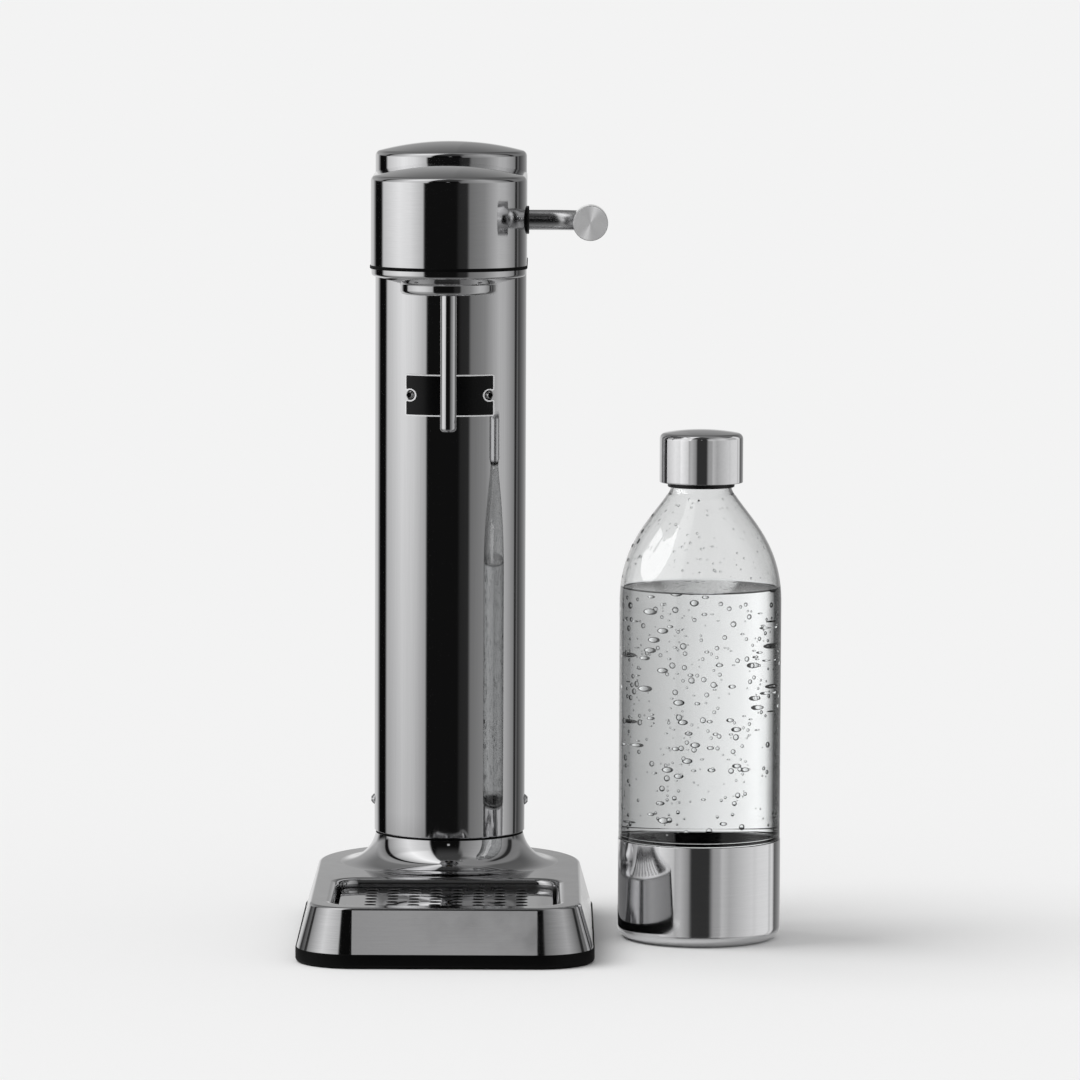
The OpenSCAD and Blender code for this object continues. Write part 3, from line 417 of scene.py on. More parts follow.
column_steel = steel("column steel", (1500.0, 1500.0, 12.0), sheen=(0.05, 0.09))
# The flare's own grain runs round the column; its grey, lighter than the rest of the pressing's steel, is painted
# light
flare_lit_steel = steel("flare steel painted light", (60.0, 60.0, 900.0), grey=0.72, sheen=(0.04, 0.08))
base_steel = steel("base steel", (60.0, 60.0, 2600.0), grey=0.6, lines=0.06, depth=6e-7)
head_steel = steel("head steel", (90.0, 90.0, 2200.0), sheen=(0.06, 0.1))
cup_steel = steel("cup steel", (40.0, 40.0, 2400.0), grey=0.74)
tray_steel = steel("tray steel", (1800.0, 25.0, 25.0), grey=0.62, sheen=(0.02, 0.06), depth=1e-7)
# Darker grey steel for the basin under the plate: painted shade
basin_shade_steel = steel("basin steel painted shade", (500.0, 500.0, 500.0), grey=0.4, sheen=(0.25, 0.45))
# Near-black steel for the walls inside the plate's holes: painted shade
hole_shade_steel = steel("hole steel painted shade", (500.0, 500.0, 500.0), grey=0.04, sheen=(0.4, 0.6))
rod_steel = steel("rod steel", (500.0, 500.0, 500.0), sheen=(0.06, 0.1))
cap_steel = steel("cap steel", (500.0, 500.0, 500.0), grey=0.72, sheen=(0.03, 0.06))
lever_steel = steel("lever steel", (400.0, 900.0, 900.0), grey=0.72, sheen=(0.22, 0.3))
border_steel = steel("border steel", (800.0, 800.0, 800.0), grey=0.92, sheen=(0.4, 0.5), metal=0.25)
satin_steel = steel("satin steel", (200.0, 200.0, 3000.0), grey=0.5, sheen=(0.28, 0.4), lines=0.1, depth=4e-6)
band_rubber = matt("black rubber", (0.0016, 0.0016, 0.0017), 0.6, dust=0.03, specular_ior_level=0.12)
black_plastic = matt("black plastic", (0.006, 0.006, 0.0065), 0.42, dust=0.05, depth=6e-6, specular_ior_level=0.35)
# Black for the hollow six-sided sockets of the steel screws: painted shade
socket_painted_shade = matt("socket painted shade", (0.002, 0.002, 0.002), 0.6, dust=0.0, specular_ior_level=0.1)
panel_black = matt("black panel", (0.003, 0.003, 0.0033), 0.24, spread=0.04, dust=0.02, depth=1.5e-6,
                   grain_scale=2600.0, specular_ior_level=0.22)
brass = matt("brass", (0.62, 0.43, 0.17), 0.28, dust=0.05, depth=3e-6, metallic=1.0)
grey_paint = matt("grey paint", (0.36, 0.37, 0.38), 0.38, dust=0.3, depth=1e-5, coat_weight=0.4)
silicone = matt("silicone", (0.75, 0.75, 0.72), 0.5, dust=0.05)
clear_plastic = clear("clear plastic", (0.975, 0.98, 0.98), 1.5, depth=1.2e-5)
water = clear("water", (0.985, 0.992, 0.995), 1.33)


# ---------------------------------------------------------------- base
def base_wall():
    """The leaning wall and the edge round the top, as (out, up)."""
    lean = math.atan(BASE_DRAFT / (BASE_TOP - FOOT_TOP))
    out = -BASE_EDGE * (1 - math.sin(lean)) / math.cos(lean)
    return np.concatenate([[[BASE_DRAFT, FOOT_TOP]],
                           arc(out, BASE_TOP - BASE_EDGE, BASE_EDGE, math.degrees(lean), 90, 10)])


tray_lip = arc(TRAY_ROLL, BASE_TOP - TRAY_LIP, TRAY_LIP, 90, 165, 10)
flare_end = 180 + math.degrees(math.asin((BASE_TOP + FLARE_R - RING_FOOT) / FLARE_R))
# Material 1, the flare, is the pressing's steel painted lighter to stand in for brighter light on it
piece("base_pressing",
      [patch(sweep_grid(BASE_PLAN, base_wall()), wrap_cols=True),
       patch(sweep_grid(TRAY_PLAN, tray_lip), wrap_cols=True),
       (*revolve(arc(FLARE_FOOT, BASE_TOP + FLARE_R, FLARE_R, 270, flare_end, 24), (0, COLUMN_Y, 0)), 1)],
      "machine", (base_steel, flare_lit_steel), ["base_shell"], levels=[(BASE_TOP, True)], wall=1.5)

foot_side = rounded((FOOT_OUT - 3, 0), (FOOT_OUT, 0, 2), (FOOT_OUT, FOOT_TOP, 0.4), (FOOT_OUT - 1, FOOT_TOP))
piece("foot_band",
      [patch(sweep_grid(BASE_PLAN, foot_side), wrap_cols=True),
       revolve([(33, FOOT_TOP), (33, 0)], (0, COLUMN_Y, 0))],
      "machine", band_rubber, ["base_foot"], levels=[(0, False), (FOOT_TOP, True)])

basin_side = rounded(tray_lip[-1], (-0.5, PLATE_TOP - 2), (0, BASIN_FLOOR, 2.5), (-4, BASIN_FLOOR))
# The basin takes the darker basin steel, painted shade under the plate
piece("tray_basin", [patch(sweep_grid(TRAY_PLAN, basin_side), wrap_cols=True)],
      "machine", basin_shade_steel, ["drip_basin"], levels=[(BASIN_FLOOR, True)], wall=1.2)


def plate_patches():
    """The perforated plate: a cell round each hole joins its circle to its square, row by row, and
    a margin joins the field of cells to the plate's round corners."""
    pitch_x, pitch_y, hole_r, side, count = 11.1, 10.5, 3.0, 8, 8
    run = np.linspace(-1, 1, side, endpoint=False)
    ones = np.ones(side)
    square = np.concatenate([np.stack([ones, run], 1), np.stack([-run, ones], 1), np.stack([-ones, -run], 1),
                             np.stack([run, -ones], 1)]) * [pitch_x / 2, pitch_y / 2]
    ring = square / np.hypot(*square.T)[:, None]
    middle = np.arange(count) - (count - 1) / 2
    centres = np.stack(np.meshgrid(middle * pitch_x, middle * pitch_y), 2).reshape(-1, 2)
    low, margin_r = PLATE_TOP - PLATE_T, TRAY_CORNER - PLATE_GAP
    lip = rounded((hole_r + 0.6, PLATE_TOP), (hole_r, PLATE_TOP, 0.2), (hole_r, low, 0.2), (hole_r + 0.4, low),
                  steps=4)
    rows = [np.column_stack([square, np.full(len(square), PLATE_TOP)])]
    rows += [np.column_stack([ring * r, np.full(len(ring), z)]) for r, z in lip]
    rows += [np.column_stack([square, np.full(len(square), low)])]
    cell = np.stack(rows)
    made = []
    for x, y in centres:
        spots = cell + [x, y + TRAY_Y, 0]
        # The rows down each hole's wall take material 1, the near-black painted shade
        made += [patch(spots[:5], wrap_cols=True), (*patch(spots[4:-2], wrap_cols=True), 1),
                 patch(spots[-3:], wrap_cols=True)]
    half_w, half_d = TRAY_W / 2 - PLATE_GAP, TRAY_D / 2 - PLATE_GAP
    steps = np.linspace(-1, 1, side * count, endpoint=False)
    flat = np.ones(len(steps))
    unit = np.concatenate([np.stack([flat, steps], 1), np.stack([-steps, flat], 1), np.stack([-flat, -steps], 1),
                           np.stack([steps, -flat], 1)])
    field = unit * [count * pitch_x / 2, count * pitch_y / 2]

    def edge(inset):
        """The plate's outline drawn in by inset, with its corners pushed onto their arcs."""
        spots = unit * [half_w - inset, half_d - inset]
        corner = np.array([half_w - margin_r, half_d - margin_r])
        past = np.abs(spots) - corner
        at_corner = (past > 0).all(1)
        push = past / np.maximum(np.hypot(*past.T), 1e-9)[:, None] * (margin_r - inset)
        return np.where(at_corner[:, None], np.sign(spots) * (corner + push), spots)

    rim = rounded((1.5, PLATE_TOP), (0, PLATE_TOP, 0.5), (0, low, 0.3), (1.5, low), steps=5)
    lines = [(field, PLATE_TOP)] + [(edge(inset), z) for inset, z in rim] + [(field, low)]
    margin = np.stack([np.column_stack([spots, np.full(len(spots), z)]) for spots, z in lines])
    return made + [patch(margin + [0, TRAY_Y, 0], wrap_cols=True)]


piece("tray_plate", plate_patches(), "drip_tray_plate", (tray_steel, hole_shade_steel),
      ["drip_grille"])

# ---------------------------------------------------------------- column
column_side = np.concatenate([arc(COLUMN_R - 1, COLUMN_FOOT + 1, 1, 270, 360, 5)[:-1],
                              [[COLUMN_R, 60], [COLUMN_R, SEAL_FOOT]],
                              dome(COLUMN_R, WINDOW_TOP, COLUMN_TOP, DOME_R, DOME_EDGE)])
points, faces = revolve(column_side, (0, COLUMN_Y, 0), steps=240)
middles = points[faces].mean(1)
opening = ((np.abs(middles[:, 0]) < 21) & (middles[:, 1] < COLUMN_Y) & (middles[:, 2] > SEAL_FOOT)
           & (middles[:, 2] < WINDOW_TOP))
piece("column_tube", [(points, faces[~opening])], "machine", column_steel, ["column_shell"],
      wall=1.5)
gasket_side = rounded((37.9, RING_FOOT), (39, RING_FOOT, 0.2), (39, COLUMN_FOOT, 0.2), (37.9, COLUMN_FOOT),
                      closed=True)
piece("column_ring", [revolve(gasket_side, (0, COLUMN_Y, 0), wrap=True)], "machine", band_rubber,
      ["column_gasket"])

# ---------------------------------------------------------------- head
cover = dome(HEAD_R, HEAD_FOOT, HEAD_TOP, DOME_R, DOME_EDGE) - [HEAD_R, 0]
piece("head_cover", [patch(to_column(sweep_grid(HEAD_PLAN, cover)))], "machine", head_steel,
      ["head_shell"], wall=1.2)

ring_side = rounded((-4, SEAL_FOOT), (0.4, SEAL_FOOT, 0.5), (0.4, HEAD_FOOT, 0.5), (-4, HEAD_FOOT), closed=True)
ring = to_column(sweep_grid(HEAD_PLAN, ring_side))
ring_points, ring_faces = patch(ring, wrap_rows=True)
ends = [[i * ring.shape[1] + j for i in range(len(ring))] for j in (0, ring.shape[1] - 1)]
piece("head_ring", [(ring_points, list(ring_faces) + ends)], "machine", band_rubber, ["head_seal"])

dish_side = np.concatenate([[[26.5, DISH_FOOT]], arc(38.4, SEAL_FOOT - 2.3, 1.5, -73, 0, 8), [[39.9, SEAL_FOOT]]])
dish = to_column(sweep_grid(HEAD_PLAN, dish_side - [HEAD_R, 0]))
bore = revolve([(19.1, SEAL_FOOT), (19.1, DISH_FOOT)], (0, NOZZLE_Y, 0), steps=96)
across = np.linspace(dish[0, -1, 0], dish[0, 0, 0], 24)
back = np.stack([across, COLUMN_Y - np.sqrt((COLUMN_R - 0.5) ** 2 - across ** 2), np.full(24, DISH_FOOT)], 1)
back_strip = patch(np.stack([back, back + [0, 0, 3]]))
piece("head_dish", [patch(dish), bore, back_strip], "machine", head_steel, ["head_underside"],
      levels=[(DISH_FOOT, False)], closed=False)

collar_side = np.concatenate([arc(20, COLLAR_FOOT + 1, 1, 180, 270, 5), arc(22.8, COLLAR_FOOT + 2.2, 2.2, 270, 360, 8),
                              arc(26, DISH_FOOT - 1, 1, 180, 90, 5), [[19, DISH_FOOT]]])
piece("neck_collar", [revolve(collar_side, (0, NOZZLE_Y, 0), wrap=True)], "machine", rod_steel,
      ["bottle_collar"])

nozzle_side = np.concatenate([[[0, 282], [1.2, 282], [1.2, 266.3]], arc(2.15, 268, 2, 262, 360, 10),
                              [[4.15, COLLAR_FOOT], [4.6, COLLAR_FOOT + 0.4], [4.6, 360], [0, 360]]])
piece("nozzle_stem", [revolve(nozzle_side, (0, NOZZLE_Y, 0), steps=96)], "machine", rod_steel,
      ["nozzle_tube"])


def socket_screw(head_r, head_h, socket_r, floor, at, turn, steps=72):
    """A round head with a six-sided socket: rings pass from the floor of the socket over the dome."""
    a = np.arange(steps) * TURN / steps
    six = socket_r * math.cos(math.pi / 6) / np.cos(np.mod(a, math.pi / 3) - math.pi / 6)
    ball = (head_r ** 2 + head_h ** 2) / (2 * head_h)
    start = math.asin(socket_r * 1.25 / ball)
    tilt = np.linspace(start, math.asin(head_r / ball), 8)
    rings = [(0 * a, floor - 0.3), (six * 0.9, floor - 0.05), (six, floor), (six, head_h - 0.35),
             (six + 0.18, head_h - 0.12)]
    rings += [(ball * np.sin(t) + 0 * a, head_h - ball * (1 - math.cos(t))) for t in tilt]
    rings += [(head_r + 0 * a, -0.4), (0 * a, -0.4)]
    grid = np.stack([np.stack([r * np.cos(a), r * np.sin(a), np.full(steps, z)], 1) for r, z in rings])
    grid = grid @ turn.T + np.array(at, float)
    # The socket's rings take material 1, black painted shade in the hollow
    return [(*patch(grid[:4], wrap_cols=True), 1), patch(grid[3:], wrap_cols=True)]


piece("side_screws", socket_screw(2.85, 1.8, 1.2, 0.6, (COLUMN_R, COLUMN_Y, 63.5), TO_RIGHT)
      + socket_screw(2.85, 1.8, 1.2, 0.6, (-COLUMN_R, COLUMN_Y, 63.5), TO_LEFT),
      "machine", (rod_steel, socket_painted_shade), ["column_screws"], crease=40)


def ring_screws():
    """Small recessed screws round the collar, on the slope of the dish."""
    made = []
    for angle in (-47, -32, 32, 47, 133, 148, 212, 227):
        a = math.radians(angle - 90)
        spin = np.array([[math.cos(a), math.sin(a), 0], [math.sin(a), -math.cos(a), 0], [0, 0, -1]])
        front = abs(angle) < 90
        lean = math.radians(15.7 if front else 0)
        tip = np.array([[math.cos(lean), 0, math.sin(lean)], [0, 1, 0], [-math.sin(lean), 0, math.cos(lean)]])
        place = np.array([31 * math.cos(a), NOZZLE_Y + 31 * math.sin(a), DISH_FOOT + (1.25 if front else 0.02)])
        made += socket_screw(1.45, 0.35, 0.8, 0.05, place, spin @ tip, 36)
    return made


piece("dish_screws", ring_screws(), "machine", (satin_steel, socket_painted_shade), ["collar_screws"],
      crease=40)

# ---------------------------------------------------------------- lever
bushing_side = rounded((5.3, -10), (6.2, -10, 0.2), (6.2, 0.05), (7.25, 0.05, 0.1), (7.25, 1.2, 0.5),
                       (5.3, 1.2, 0.3), closed=True)
piece("lever_bush", [revolve(bushing_side, (HEAD_R, NOZZLE_Y, LEVER_Z), TO_RIGHT, wrap=True)], "machine",
      black_plastic, ["lever_bushing"])


def rod_patch():
    """The bent rod: a circle of radius ROD_R across a path that runs along +X and bends to -Y."""
    bend = arc(KNOB_X - BEND_R, NOZZLE_Y - BEND_R, BEND_R, 90, 0, 24)
    path = np.concatenate([[[-21.7, NOZZLE_Y]], [[30, NOZZLE_Y]], bend, [[KNOB_X, KNOB_END + 10]]])
    along = np.gradient(path, axis=0)
    along[:2], along[-2:] = [1, 0], [0, -1]
    along[2], along[2 + 24] = [1, 0], [0, -1]
    side = np.stack([along[:, 1], -along[:, 0]], 1) / np.hypot(*along.T)[:, None]
    t = np.arange(64) * TURN / 64
    flat = path[:, None] - ROD_R * np.cos(t)[None, :, None] * side[:, None]
    high = np.repeat((LEVER_Z + ROD_R * np.sin(t))[None, :, None], len(path), 0)
    grid = np.concatenate([flat, high], 2)
    tips = [np.repeat(grid[i].mean(0)[None, None], 64, 1) for i in (0, -1)]
    return patch(np.concatenate([tips[0], grid, tips[1]]), wrap_cols=True)


piece("lever_rod", [rod_patch()], "lever", lever_steel, ["lever_arm"])

knob_side = rounded((0, 0), (KNOB_R, 0, 0.5), (KNOB_R, KNOB_L, 0.55), (0, KNOB_L))
knob_face = np.linspace(KNOB_R - 0.56, 0, 12)[1:-1]
knob_side = np.concatenate([knob_side[:-1], np.stack([knob_face, np.full(10, KNOB_L)], 1), knob_side[-1:]])


def spun_steel():
    """Turned steel: fine rings round the knob's axis lie in its normal and its gloss."""
    made, tree, shader, out = surface_material(
        "spun steel", polish, {"Stretch": (300.0, 300.0, 300.0), "Smear scale": 60.0}, metallic=0.5,
        base_color=(0.74, 0.74, 0.745, 1), anisotropic=0.9, anisotropic_rotation=0.25)
    away = vector(tree, "SUBTRACT", own_place(tree), (KNOB_X * MM, 0, LEVER_Z * MM))[0]
    length = vector(tree, "LENGTH", vector(tree, "MULTIPLY", away, (1, 0, 1))[0])["Value"]
    rings = noise(tree, calc(tree, "MULTIPLY", length, 9000.0), 1.0, 2.0)
    feed(tree, shader.inputs["Roughness"], fade(tree, rings, 0.2, 0.8, 0.5, 0.6))
    bump(tree, shader, rings, 1.2e-6)
    tangent = node(tree, "ShaderNodeTangent", direction_type="UV_MAP", uv_map="turned")
    feed(tree, shader.inputs["Tangent"], tangent.outputs[0])
    return made


knob = piece("lever_grip", [revolve(knob_side, (KNOB_X, KNOB_END + KNOB_L, LEVER_Z), TO_FRONT, steps=96)], "lever",
             rod_steel, ["lever_knob"])
knob.data.materials.append(spun_steel())


def mark_turned(obj, x, z, steep=0.9):
    """Gives faces that look along -Y the second material, and a map whose first axis runs round them."""
    mesh = obj.data
    layer = mesh.uv_layers.new(name="turned")
    spots = np.zeros(len(mesh.vertices) * 3)
    mesh.vertices.foreach_get("co", spots)
    corners = np.zeros(len(mesh.loops), int)
    mesh.loops.foreach_get("vertex_index", corners)
    away = spots.reshape(-1, 3)[corners] / MM - [x, 0, z]
    a = np.arctan2(away[:, 2], away[:, 0]) / TURN
    starts = np.zeros(len(mesh.polygons), int)
    mesh.polygons.foreach_get("loop_start", starts)
    counts = np.zeros(len(mesh.polygons), int)
    mesh.polygons.foreach_get("loop_total", counts)
    first = np.repeat(a[starts], counts)
    a = first + np.mod(a - first + 0.5, 1) - 0.5
    layer.data.foreach_set("uv", np.stack([a, np.hypot(away[:, 0], away[:, 2]) / 10], 1).ravel())
    normals = np.zeros(len(mesh.polygons) * 3)
    mesh.polygons.foreach_get("normal", normals)
    mesh.polygons.foreach_set("material_index", (normals.reshape(-1, 3)[:, 1] < -steep).astype(int))


mark_turned(knob, KNOB_X, LEVER_Z)


# ---------------------------------------------------------------- nameplate, left bare
def panel_outline(inset=0.0):
    """The panel's outline in (across, up): a round-cornered strip, notched round each end's screw."""
    x, z, r, notch = PANEL_W / 2 - PANEL_CORNER, PANEL_H / 2 - PANEL_CORNER, PANEL_CORNER - inset, NOTCH_R + inset
    across = NOTCH_R + PANEL_CORNER
    turn = math.degrees(math.acos((x - NOTCH_X) / across))
    up = across * math.sin(math.radians(turn))
    right = np.concatenate([arc(x, -z, r, -90, 0, 6), arc(x, -up, r, 0, 180 - turn, 6),
                            arc(NOTCH_X, 0, notch, 360 - turn, turn, 32)[1:-1], arc(x, up, r, 180 + turn, 360, 6),
                            arc(x, z, r, 0, 90, 6)])
    top = np.stack([np.linspace(x, -x, 24)[1:-1], np.full(22, z + r)], 1)
    return np.concatenate([right, top, -right, -top])


def on_panel(flat, r):
    """Bends (across, up) round the column's axis at radius r."""
    return np.stack([flat[:, 0], COLUMN_Y - np.sqrt(r ** 2 - flat[:, 0] ** 2), PANEL_Z + flat[:, 1]], 1)


def panel_sheet(outline, r):
    """The area inside the outline, cut into triangles with a lattice of inner points, bent to r."""
    xs, zs = np.meshgrid(np.arange(-22.5, 23, 1.5), np.arange(-9.6, 10, 1.6))
    inner = np.stack([xs.ravel(), zs.ravel()], 1)
    inner = inner[(np.abs(inner[:, 0]) < PANEL_W / 2 - 1.4)
                  & (np.hypot(np.abs(inner[:, 0]) - NOTCH_X, inner[:, 1]) > 4.4)]
    count = len(outline)
    spots = np.concatenate([outline, inner])
    loop = [(i, (i + 1) % count) for i in range(count)]
    flat, _, faces, _, _, _ = delaunay_2d_cdt([tuple(p) for p in spots], loop, [], 1, 1e-6)
    return on_panel(np.array([tuple(p) for p in flat]), r), faces


def rim_strip(first, second, r_first, r_second):
    """A closed strip between two outlines of the same count, each bent to its own radius."""
    return patch(np.stack([on_panel(first, r_first), on_panel(second, r_second)]), wrap_cols=True)


outer, inner_line = panel_outline(), panel_outline(0.7)
front_r, back_r, border_r = PANEL_R - 0.08, COLUMN_R - 0.2, PANEL_R - 0.3
piece("name_panel", [panel_sheet(outer, front_r), rim_strip(outer, outer, front_r, back_r),
                     panel_sheet(outer, back_r)],
      "machine", panel_black, ["nameplate"])
piece("panel_border", [rim_strip(outer, inner_line, PANEL_R, PANEL_R), rim_strip(outer, outer, PANEL_R, border_r),
                       rim_strip(inner_line, inner_line, PANEL_R, border_r),
                       rim_strip(outer, inner_line, border_r, border_r)],
      "machine", border_steel)


def panel_screws():
    """A screw in each notch, PANEL_SCREW_ANGLE round the column from its front."""
    made = []
    for side in (-1, 1):
        a = math.radians(PANEL_SCREW_ANGLE * side)
        spin = np.array([[math.cos(a), -math.sin(a), 0], [math.sin(a), math.cos(a), 0], [0, 0, 1]])
        place = np.array([COLUMN_R * math.sin(a), COLUMN_Y - COLUMN_R * math.cos(a), PANEL_Z])
        made += socket_screw(2.6, 1.6, 1.45, 0.5, place, spin @ TO_FRONT)
    return made


piece("panel_screws", panel_screws(), "machine", (rod_steel, socket_painted_shade), ["nameplate_screws"],
      crease=40)

# ---------------------------------------------------------------- bottle
BOTTLE_AT = (BOTTLE_X, BOTTLE_Y, 0)
cup_lip = rounded((CUP_R, 30), (CUP_R, CUP_H, 0.35), (CUP_R - CUP_WALL, CUP_H, 0.35), (CUP_R - CUP_WALL, 30))
cup_side = np.concatenate([[[0, 0]], arc(CUP_R - CUP_EDGE, CUP_EDGE, CUP_EDGE, 270, 360, 14), cup_lip,
                           arc(CUP_R - CUP_EDGE, CUP_EDGE, CUP_EDGE - CUP_WALL, 360, 270, 10), [[0, CUP_WALL]]])
cup = piece("cup", [revolve(cup_side, BOTTLE_AT, steps=240)], "water_bottle", cup_steel,
            ["bottle_cup"])


def shoulder(steps=48):
    """The shoulder's radius as a smooth line through chosen shares of the body's radius."""
    shares = [1, 0.996, 0.985, 0.970, 0.948, 0.919, 0.879, 0.835, 0.783, 0.720, 0.652, 0.576, 0.503, 0.430]
    way = np.linspace(0, 1, len(shares))
    fitted = np.polyfit(way, shares, 7)
    t = np.linspace(0, 1, steps)
    return np.stack([np.polyval(fitted, t) * BODY_R, SHOULDER_FOOT + SHOULDER_H * t], 1)


def bottle_patch(steps=224):
    """The clear body: its outer wall, lip and inner wall, with a screw thread as a ridge whose height
    depends on z less the pitch times the turn."""
    curve = shoulder()
    outer = np.concatenate([[[0, 1.1]], arc(CUP_R - CUP_EDGE, CUP_EDGE, 5.9, 270, 360, 10),
                            rounded((41.4, 20), (41.4, 52.7, 0.2), (BODY_R, 52.7, 0.5), (BODY_R, 60)),
                            [[BODY_R, 120]], curve,
                            arc(NECK_R + NECK_ARC, NECK_FOOT, NECK_ARC, 225, 180, 8)[1:],
                            np.stack([np.full(48, NECK_R), np.linspace(241, 259, 48)], 1),
                            arc(NECK_R - 0.5, MOUTH_TOP - 0.5, 0.5, 0, 90, 4)])
    inner = np.concatenate([arc(NECK_R - 1.1, MOUTH_TOP - 0.5, 0.5, 90, 180, 4),
                            [[NECK_R - BODY_WALL, 250]],
                            arc(NECK_R + NECK_ARC - BODY_WALL, NECK_FOOT, NECK_ARC, 180, 225, 8)[:-1],
                            curve[::-1] - [BODY_WALL, 0], [[BODY_R - BODY_WALL, 60]],
                            rounded((BODY_R - BODY_WALL, 56), (BODY_R - BODY_WALL, 54.6, 0.4), (39.8, 54, 0.4),
                                    (39.8, 50)),
                            arc(CUP_R - CUP_EDGE, CUP_EDGE, 4.3, 360, 270, 8), [[0, 2.7]]])
    profile = np.concatenate([outer, inner])
    a = np.arange(steps) * TURN / steps
    r, z = profile[:, :1] + 0 * a, profile[:, 1:] + 0 * a
    pitch, ridge, ridge_foot, ridge_top = 4.2, 0.34, 242, 259
    wave = 0.5 + 0.5 * np.cos((z / pitch - a / TURN) * TURN)
    held = np.clip((z - ridge_foot) / 3, 0, 1) * np.clip((ridge_top - z) / 3, 0, 1)
    outside = np.arange(len(profile))[:, None] < len(outer)
    r = r + np.where(outside, ridge * wave ** 3 * held, 0)
    return patch(np.stack([r * np.cos(a), r * np.sin(a), z], 2) + np.array(BOTTLE_AT), wrap_cols=True)


clear_body = piece("clear_body", [bottle_patch()], "water_bottle", clear_plastic, ["bottle_body"],
                   crease=60, even=False)


def turned(spots, cells, outward=True):
    """A closed patch with its faces outward, or inward: the sign of its volume tells which way they look."""
    a, b, c, d = np.moveaxis((spots - spots.mean(0))[cells], 1, 0)
    volume = (a * (np.cross(b, c) + np.cross(c, d))).sum()
    return spots, cells if (volume > 0) == outward else cells[:, ::-1]


def beads(spots, normals, sizes, flatten, outward=True):
    """Small balls, pressed flat along each one's normal."""
    lat, lon = np.meshgrid(np.linspace(0, math.pi, 8), np.arange(12) * TURN / 12, indexing="ij")
    ball = np.stack([np.sin(lat) * np.cos(lon), np.sin(lat) * np.sin(lon), np.cos(lat)], 2)
    up = np.array([0, 0, 1.0])
    made = []
    for spot, normal, size in zip(spots, normals, sizes):
        side = np.cross(up, normal)
        side /= np.linalg.norm(side)
        squeezed = ball @ (np.stack([side, np.cross(normal, side), normal * flatten]) * size)
        made.append(turned(*patch(squeezed + spot, wrap_cols=True), outward))
    return made


def on_wall(angle, z, inset):
    """Points on the bottle's wall, drawn in by inset, and their outward normals."""
    line = np.concatenate([[[BODY_R, 50.0]], shoulder(), [[NECK_R, 237.7], [NECK_R, 240]]])
    r = np.interp(z, line[:, 1], line[:, 0])
    slope = (np.interp(z + 0.5, line[:, 1], line[:, 0]) - np.interp(z - 0.5, line[:, 1], line[:, 0]))
    normal = np.stack([np.cos(angle), np.sin(angle), -slope], 1)
    normal /= np.linalg.norm(normal, axis=1)[:, None]
    wall = np.stack([r * np.cos(angle), r * np.sin(angle), z], 1) + np.array(BOTTLE_AT)
    return wall - normal * np.asarray(inset)[:, None], normal


def apart(spots, sizes):
    """Which of the spots to keep, so that none comes closer to an earlier one than both sizes allow."""
    keep = []
    for i in range(len(spots)):
        away = np.linalg.norm(spots[keep] - spots[i], axis=1)
        if (away > 1.15 * (sizes[keep] + sizes[i])).all():
            keep.append(i)
    return keep


dice = np.random.default_rng(11)
count = 900
sizes = 0.4 + 1.35 * dice.random(count) ** 1.9
sizes[:20] = 0.9 + 1.1 * dice.random(20)
heights = 57 + 122 * dice.random(count) ** 0.9
heights[:20] = WATER_TOP - 2.5 - 1.3 * sizes[:20] - 5 * dice.random(20) ** 2
angles = dice.random(count) * TURN
trails = dice.random(count) < 0.5
angles = np.where(trails, (np.round(angles * 7 / TURN) + 0.2 * np.sin(heights / 17)) * TURN / 7
                  + dice.normal(0, 0.12, count), angles)
spots, normals = on_wall(angles, heights, 1.72 + sizes * 0.8)
keep = apart(spots, sizes)
bubbles = beads(spots[keep], normals[keep], sizes[keep], 0.75, outward=False)

curve = shoulder()
below = curve[curve[:, 1] < WATER_TOP - 1][1:] - [1.5, 0]
wet_r = np.interp(WATER_TOP, curve[:, 1], curve[:, 0]) - 1.5
water_side = np.concatenate([[[0, 2.6]], arc(CUP_R - CUP_EDGE, CUP_EDGE, 4.4, 270, 360, 8),
                             rounded((39.9, 50), (39.9, 54.1, 0.4), (BODY_R - 1.5, 54.7, 0.4), (BODY_R - 1.5, 60)),
                             [[BODY_R - 1.5, SHOULDER_FOOT]], below,
                             arc(wet_r - 1, WATER_TOP + 1, 1, 0, -90, 8), [[0, WATER_TOP]]])
piece("water_fill", [turned(*revolve(water_side, BOTTLE_AT, steps=192))] + bubbles, "water_bottle",
      water, crease=60, closed=False, even=False)

count = 150
sizes = 0.25 + 0.6 * dice.random(count) ** 2
mist = beads(*on_wall(dice.random(count) * TURN, 187 + 43 * dice.random(count), np.full(count, 1.7)), sizes, 0.5)
piece("mist", mist, "water_bottle", water, crease=80, even=False)

drop_angles = np.radians([-172, -168, -176, -163, -170, -166, -174, -60, -95, -80])
drop_heights = np.array([222, 214, 206, 209, 199, 228, 190, 205, 215, 196.0])
drop_sizes = np.array([1.0, 1.3, 1.1, 1.6, 1.0, 0.8, 0.7, 0.6, 0.7, 0.6])
drops = beads(*on_wall(drop_angles, drop_heights, np.full(10, 0.1)), drop_sizes, 0.45)
piece("drops", drops, "water_bottle", water, crease=80, even=False)

